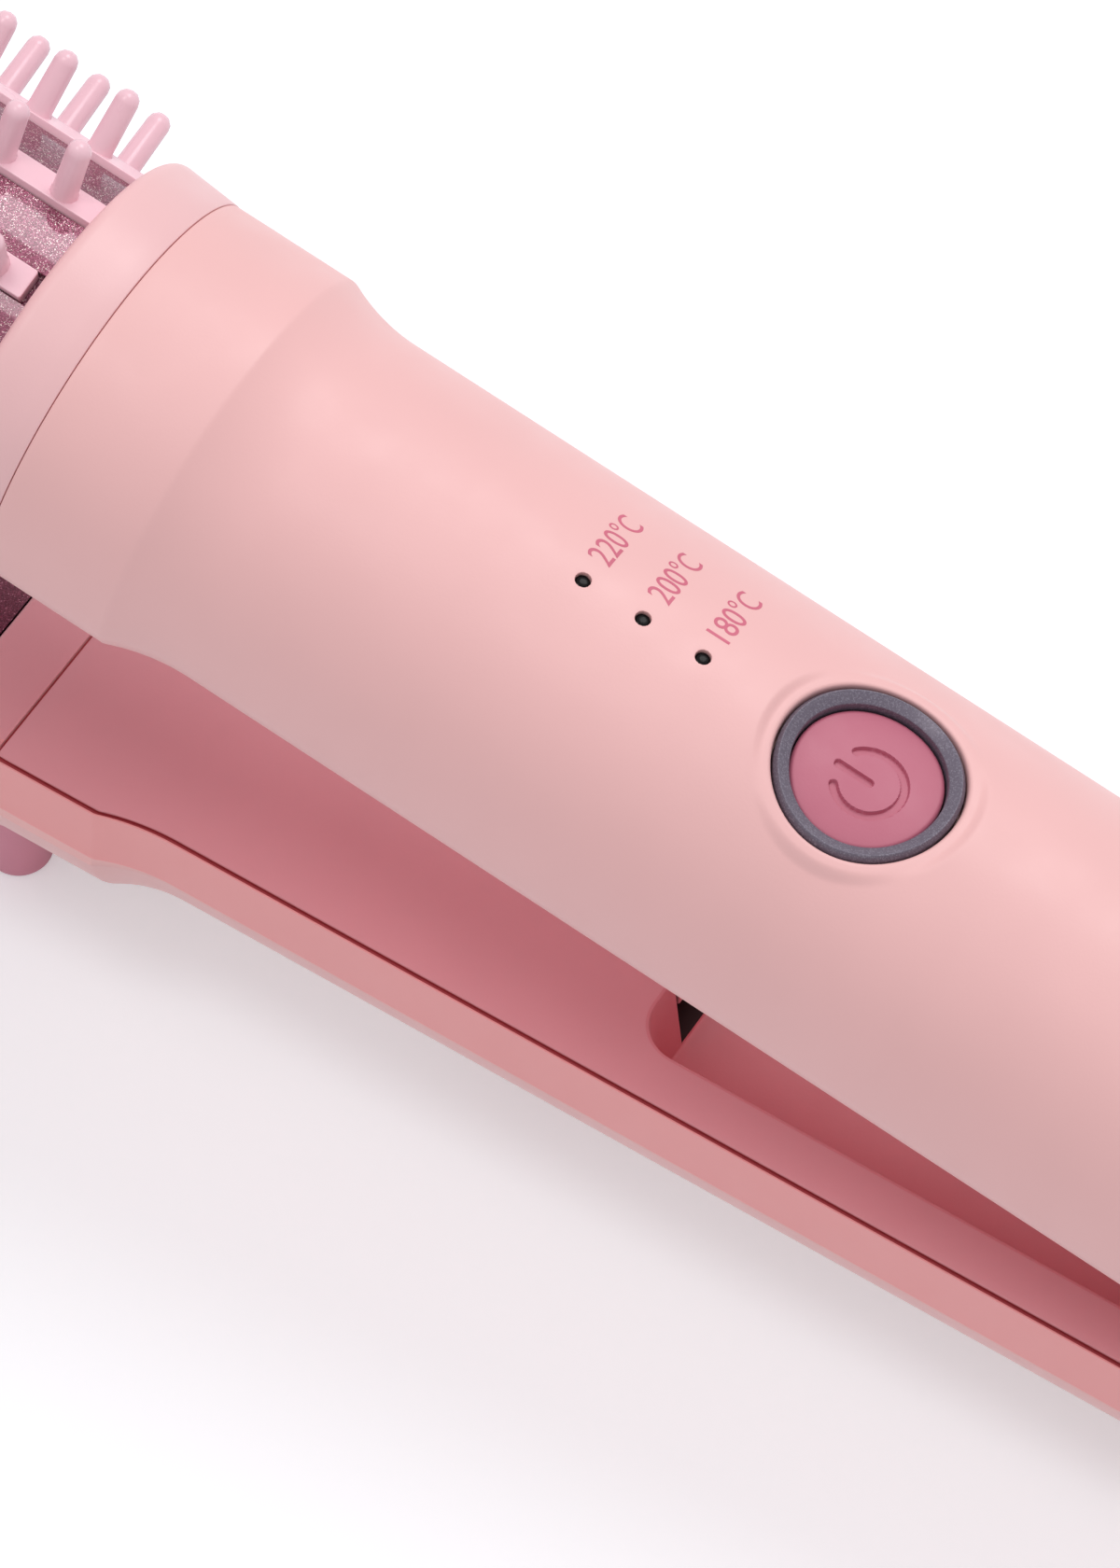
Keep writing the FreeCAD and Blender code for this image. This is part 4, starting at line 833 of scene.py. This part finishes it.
def buttonPiece():
    # bowed face with a round edge, and the sign pressed in as an arc and a bar
    form, sign, flat = buttonForm, signForm, buttonForm.radius - buttonForm.edge
    angle = linspace(0, 2 * pi, form.around, endpoint=False)
    edge = form.radius - form.edge * (1 - sin(linspace(0, pi / 2, 7)))
    away = np.r_[linspace(0, flat, form.rings)[:-1], edge]
    r, a = np.meshgrid(away, angle, indexing="ij")
    x, y = r * cos(a), r * sin(a)
    spot = x - sign.offset[0] + 1j * (y - sign.offset[1])
    ends = -sign.radius * np.exp(1j * sign.gap * array([-1, 1]))
    nearEnd = np.abs(spot[..., None] - ends).min(-1)
    toArc = np.where(np.abs(np.angle(-spot)) > sign.gap, np.abs(np.abs(spot) - sign.radius), nearEnd)
    toBar = np.abs(spot - clip(spot.real, -sign.barTo, 0.0))
    half = sign.stroke / 2
    beside = smoothStep(half - sign.soft, half + sign.soft, np.minimum(toArc, toBar))
    level = form.face - roundOff(form.radius - r, form.edge) - sign.depth * (1 - beside)
    face, under = stack([form.x + x, y, level], -1), form.face - form.depth
    rim = [(form.radius, face[-1, 0, 2]), (form.radius, under), (form.stem, under),
           (form.stem, form.stemEnd), (0.0, form.stemEnd)]
    corners, quads = lathe(rim, (form.x, 0, 0), form.around)
    face, corners = [crowned(points, under, under + 0.5) for points in (face, corners)]
    addPiece("powerButton", [grid(face, True), (corners, quads)], "upper", [paint.buttonRose],
             ["power_button"], 50, "power_button")


def ringPiece():
    # bowed ring with a bevel outside and a face that falls inwards
    form = ringForm
    outline = [(form.inner, form.base), (form.outer, form.base), (form.outer, form.top - form.bevel),
               (form.edge, form.top), (form.inner, form.inside), (form.inner, form.base)]
    corners, quads = lathe(softened(outline, form.cuts, form.bends), (buttonForm.x, 0, 0), form.around)
    addPiece("buttonRing", [(crowned(corners, form.base, form.inside), quads)], "upper", [paint.ringGrey],
             ["button_ring"])


def pilotPieces():
    form, radius = pilotForm, pilotForm.hole - pilotForm.gap
    top = shellForm.edge + shellForm.radius["upper"] - form.recess
    # near-black domes: painted shade of the light holes' dark inside
    lens = softened([(0, form.base), (radius, form.base), (radius, top), (0, top + form.dome)],
                    [0, 0.05, 0.2, 0], 5)
    addPiece("lightPipes", [lathe(lens, (x, 0, 0), 32) for x in form.x], "upper", [paint.lensBlack],
             ["light_pipes"])


printForm = Form(
    marks=("220°C", "200°C", "180°C"), length=6.7, tall=2.35, start=2.4, baseline=1.1, digits=0.4, bends=6,
    lift=0.02, thick=0.03, longEdge=0.6)


def printedMarks():
    # thin inlay of ink that reads round the shell, tops towards the barrel
    form, radius = printForm, shellForm.radius["upper"]
    high, work = radius + form.lift, bmesh.new()
    for text, x in zip(form.marks, pilotForm.x):
        curve = bpy.data.curves.new("mark", "FONT")
        curve.body = text
        curve.resolution_u = form.bends
        holder = placed("mark", curve)
        bpy.context.view_layer.update()
        letters = bpy.data.meshes.new_from_object(holder.evaluated_get(bpy.context.evaluated_depsgraph_get()))
        bpy.data.objects.remove(holder)
        flat = array([corner.co for corner in letters.vertices])
        digits = flat[flat[:, 0] < flat[:, 0].max() * form.digits, 1]
        turn = ((flat[:, 0] - flat[:, 0].min()) * form.length / np.ptp(flat[:, 0]) + form.start) / radius
        tall = (flat[:, 1] - digits.min()) * form.tall / np.ptp(digits)
        spots = np.c_[x + form.baseline - tall, high * sin(turn), shellForm.edge + high * cos(turn)]
        corners = [work.verts.new(spot) for spot in toFrame(spots, "upper")]
        for face in letters.polygons:
            work.faces.new([corners[corner] for corner in face.vertices])
    bmesh.ops.remove_doubles(work, verts=work.verts, dist=weldGap)
    longEdges = [edge for edge in work.edges if edge.calc_length() > form.longEdge * mm]
    bmesh.ops.subdivide_edges(work, edges=longEdges, cuts=1)
    bmesh.ops.recalc_face_normals(work, faces=work.faces)
    work.normal_update()
    if sum(face.normal.z for face in work.faces) < 0:
        bmesh.ops.reverse_faces(work, faces=work.faces)
    mesh = bpy.data.meshes.new("printedMarks")
    work.to_mesh(mesh)
    work.free()
    mesh.materials.append(paint.inkRose)
    piece = placed("printedMarks", mesh)
    wall = piece.modifiers.new("ink", "SOLIDIFY")
    wall.thickness = form.thick * mm
    wall.offset = -1.0
    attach(piece, "upper_arm")


buttonPiece()
ringPiece()
pilotPieces()
printedMarks()
print("button, lights and marks made")

# tail, gland, thumb pad, lock and feet
tailForm = Form(
    front=-10.0, edge=0.4, straight=8.0, end=20.0, radius=18.0, round=12.0, half=3.0, wall=2.0, hole=5.06,
    around=96, earY=9.54, earHalf=1.2, earX=7.0, earTop=6.0, earRound=0.4, earGap=1.0)


def tailPiece():
    # two half circles with straight sides between them, rounded off to the gland's hole
    form, front, walls = tailForm, tailForm.front, []
    bend = linspace(0, pi / 2, 17)
    angle = linspace(0, 2 * pi, form.around, endpoint=False) + pi / form.around
    for inset in (0.0, form.wall):
        rounding, radius = form.round - inset, form.radius - inset
        straight = np.r_[front, front + 0.1, front + form.edge, linspace(front + 3, form.straight, 4)[:-1]]
        x = np.r_[straight, form.straight + rounding * sin(bend)]
        size = np.r_[0 * straight + radius, radius - rounding * (1 - cos(bend))]
        if inset == 0:
            size -= roundOff(x - front, form.edge)
        y, z = size[:, None] * cos(angle), size[:, None] * sin(angle)
        rows = sections(x, y, z + form.half * np.sign(z))
        turn = np.arctan2(rows[-1, :, 2], rows[-1, :, 1])
        hole = np.c_[0 * turn + form.end - inset, form.hole * cos(turn), form.hole * sin(turn)]
        share = linspace(0, 1, 4)[1:, None, None]
        walls.append(np.r_[rows, rows[-1] + share * (hole - rows[-1])])
    surfaces = [grid(wall, True) for wall in walls] + closing(*walls, True)
    depth = sqrt((form.radius - form.earGap) ** 2 - (form.earY + form.earHalf) ** 2)
    surfaces += [roundedBlock((-form.earX, form.earX), form.earHalf, (-form.earTop, depth), form.earRound,
                              form.earRound, y=way * form.earY) for way in (-1, 1)]
    addPiece("tailHousing", surfaces, "lower", [paint.shellPink], ["tail_housing"], 50)


# neck of the gland as (inset, x), with two finger ribs; cuts go round the whole section
glandForm = Form(
    bore=3.2, neck=5.0, flange=6.9, flangeX=(15.44, 17.94), around=72,
    neckLine=[(0.0, 17.94), (0.0, 20.6), (0.35, 20.9), (0.35, 21.5), (0.0, 21.8), (0.0, 22.4), (0.35, 22.7),
              (0.35, 23.1), (0.1, 23.3), (0.1, 24.0)],
    cuts=[0.1, 0.3, 0.2, 0, 0.15, 0.15, 0.15, 0.15, 0.15, 0.15, 0.1, 0.1, 0.5, 0.4])


def glandPiece():
    form = glandForm
    start, back = form.flangeX
    profile = [(form.bore, start), (form.flange, start), (form.flange, back),
               *[(form.neck - inset, x) for inset, x in form.neckLine], (form.bore, form.neckLine[-1][1])]
    section = softened(profile, form.cuts, 4, True)
    bush = lathe(np.r_[section, section[:1]], (0, 0, 0), form.around, "x")
    addPiece("cordGland", [bush], "lower", [paint.glandRubber], ["cord_gland"], 50,
             "cord_gland")


padForm = Form(
    x=(-150.5, -136.5), half=5.5, z=(20.75, 23.4), corner=2.0, edge=0.7, bend=10, ribX=-148.0, ribs=7,
    ribPitch=1.5, ribHalf=3.9, ribRound=0.45, ribCorner=0.4, ribEdge=0.3, ribRise=0.35, ribDepth=0.9)


def padPiece():
    # thumb pad with a row of grip ribs
    form = padForm
    top, high = form.z[1] - form.ribRise, form.z[1]
    surfaces = [roundedBlock(form.x, form.half, (form.z[0], top), form.corner, form.edge, form.bend)]
    for x in form.ribX + form.ribPitch * np.arange(form.ribs):
        surfaces.append(roundedBlock((x - form.ribRound, x + form.ribRound), form.ribHalf,
                                     (high - form.ribDepth, high), form.ribCorner, form.ribEdge))
    addPiece("lockPad", surfaces, "lower", [paint.lockPink], ["lock_pad"], body="closing_lock")


# blocks of the lock as x, half width, z, corner and edge
sliderForm = Form(
    carriage=((-146.9, -138.5), 3.8, (2.5, 5.2), 0.5, 0.4),
    tongue=((-141.5, -132.15), 3.8, (2.5, 5.0), 0.2, 0.15),
    stem=((-146.5, -140.5), 2.5, (2.6, 21.5), 0.5, 0.1))


def sliderPiece():
    surfaces = [roundedBlock(*block) for block in sliderForm.values()]
    addPiece("lockSlider", surfaces, "lower", [paint.lockPink], ["lock_slider"],
             body="closing_lock")


# sole of a foot as (inset, share of its height)
footForm = Form(
    x=-198.45, y=10.1, radius=3.2, top=14.0, around=40,
    sole=[(0.0, 0.0), (0.0, 0.86), (0.0, 0.93), (0.08, 0.97), (0.25, 0.99), (0.6, 1.0)])


def feetPiece():
    # posts from the collar down to the level floor
    form, tilt, surfaces = footForm, radians(restTilt), []
    profile = [(0.0, 0.0), *[(form.radius - inset, share) for inset, share in form.sole], (0.0, 1.0)]
    for way in (-1, 1):
        corners, quads = lathe(profile, (form.x, way * form.y, 0), form.around)
        floor = (hingeSpot[2] - corners[:, 0] * sin(tilt)) / cos(tilt)
        corners[:, 2] = form.top + corners[:, 2] * (floor - form.top)
        surfaces.append((corners, quads))
    addPiece("restFeet", surfaces, "lower", [paint.footRubber], ["rest_feet"])


tailPiece()
glandPiece()
padPiece()
sliderPiece()
feetPiece()
print("tail and lock made")

# finishes of the inner pieces, which keep their own shape
keptFinish = {
    "heater": "ceramic", "heater_clip": "aluminium", "thermal_sensor": "brass", "terminal": "cream",
    "heater_leads": "silicone", "cover_screws": "steel", "hinge_pin": "steel", "pin_retainers": "steel",
    "torsion_spring": "steel", "board_screws": "steel", "control_board": "boardGreen",
    "push_switch": "blackPlastic", "indicator_lamps": "lampWhite"}
for name, node in nodes.items():
    finish = keptFinish.get(name.removeprefix("upper_").removeprefix("lower_"))
    for place in node.material_slots if finish else ():
        place.material = paint[finish]
print("inner pieces finished")

# floor, light and camera, in metres
stageForm = Form(floorHalf=3.0, floorTone=(238, 247, 250), floorGlow=0.32)
lightForm = Form(
    worldTone=(252, 245, 248), world=0.55,
    key=Form(place=(0.08, 0.58, 1.05), size=0.6, power=4.25, tone=(255, 253, 254)),
    fill=Form(place=(-0.22, -0.2, 1.22), size=0.45, power=2.4, tone=(255, 247, 247)))
cameraForm = Form(
    eye=(0.21404217, -0.33427220, 0.61717958), look=(-0.30038185, 0.47744189, -0.82572392), lens=185.51,
    sensor=36.0, clip=0.01)


def backgroundRays(finish):
    # 1 for rays that show the background: from the camera, mirrored or through glass
    path = finish.add("LightPath").outputs
    total = path["Is Camera Ray"]
    for name in ("Is Glossy Ray", "Is Transmission Ray"):
        total = finish.add("Math", {0: total, 1: path[name]}, "MAXIMUM").outputs[0]
    return total


def floorPiece():
    form, half = stageForm, stageForm.floorHalf
    mesh = bpy.data.meshes.new("floor")
    corners = [(-half, -half, 0), (half, -half, 0), (half, half, 0), (-half, half, 0)]
    mesh.from_pydata(corners, [], [(0, 1, 2, 3)])
    finish = Finish(bpy.data.materials.new("paleFloor"))
    finish.tree.nodes.clear()
    matt = finish.add("BsdfDiffuse", {"Color": linear(form.floorTone)})
    strength = finish.add("Math", {0: backgroundRays(finish), 1: form.floorGlow}, "MULTIPLY")
    glow = finish.add("Emission", {"Strength": strength.outputs[0]})
    both = finish.add("AddShader", {0: matt.outputs[0], 1: glow.outputs[0]})
    finish.add("OutputMaterial", {"Surface": both.outputs[0]})
    mesh.materials.append(finish.holder)
    floor = placed("floor", mesh)


def worldLight():
    world = bpy.data.worlds.new("studio")
    bpy.context.scene.world = world
    finish = Finish(world)
    finish.tree.nodes.clear()
    tones = ((linear(lightForm.worldTone), lightForm.world), ((1, 1, 1, 1), 1.0))
    soft, white = [finish.add("Background", {"Color": tone, "Strength": strength}).outputs[0]
                   for tone, strength in tones]
    choice = finish.add("MixShader", {"Fac": backgroundRays(finish), 1: soft, 2: white})
    finish.add("OutputWorld", {"Surface": choice.outputs[0]})


def aimed(thing, place, look):
    thing.location = place
    thing.rotation_euler = Vector(look).to_track_quat("-Z", "Y").to_euler()


def areaLight(name):
    form = lightForm[name]
    light = bpy.data.lights.new(name, "AREA")
    light.shape = "DISK"
    light.size = form.size
    light.energy = form.power
    light.color = linear(form.tone)[:3]
    aimed(placed(name, light), form.place, -Vector(form.place))


floorPiece()
worldLight()
areaLight("key")
areaLight("fill")
lensData = bpy.data.cameras.new("camera")
lensData.lens = cameraForm.lens
lensData.sensor_width = cameraForm.sensor
lensData.clip_start = cameraForm.clip
camera = placed("camera", lensData)
aimed(camera, cameraForm.eye, cameraForm.look)
bpy.context.scene.camera = camera
bpy.context.scene.view_settings.view_transform = "Standard"
print("stage, light and camera set")
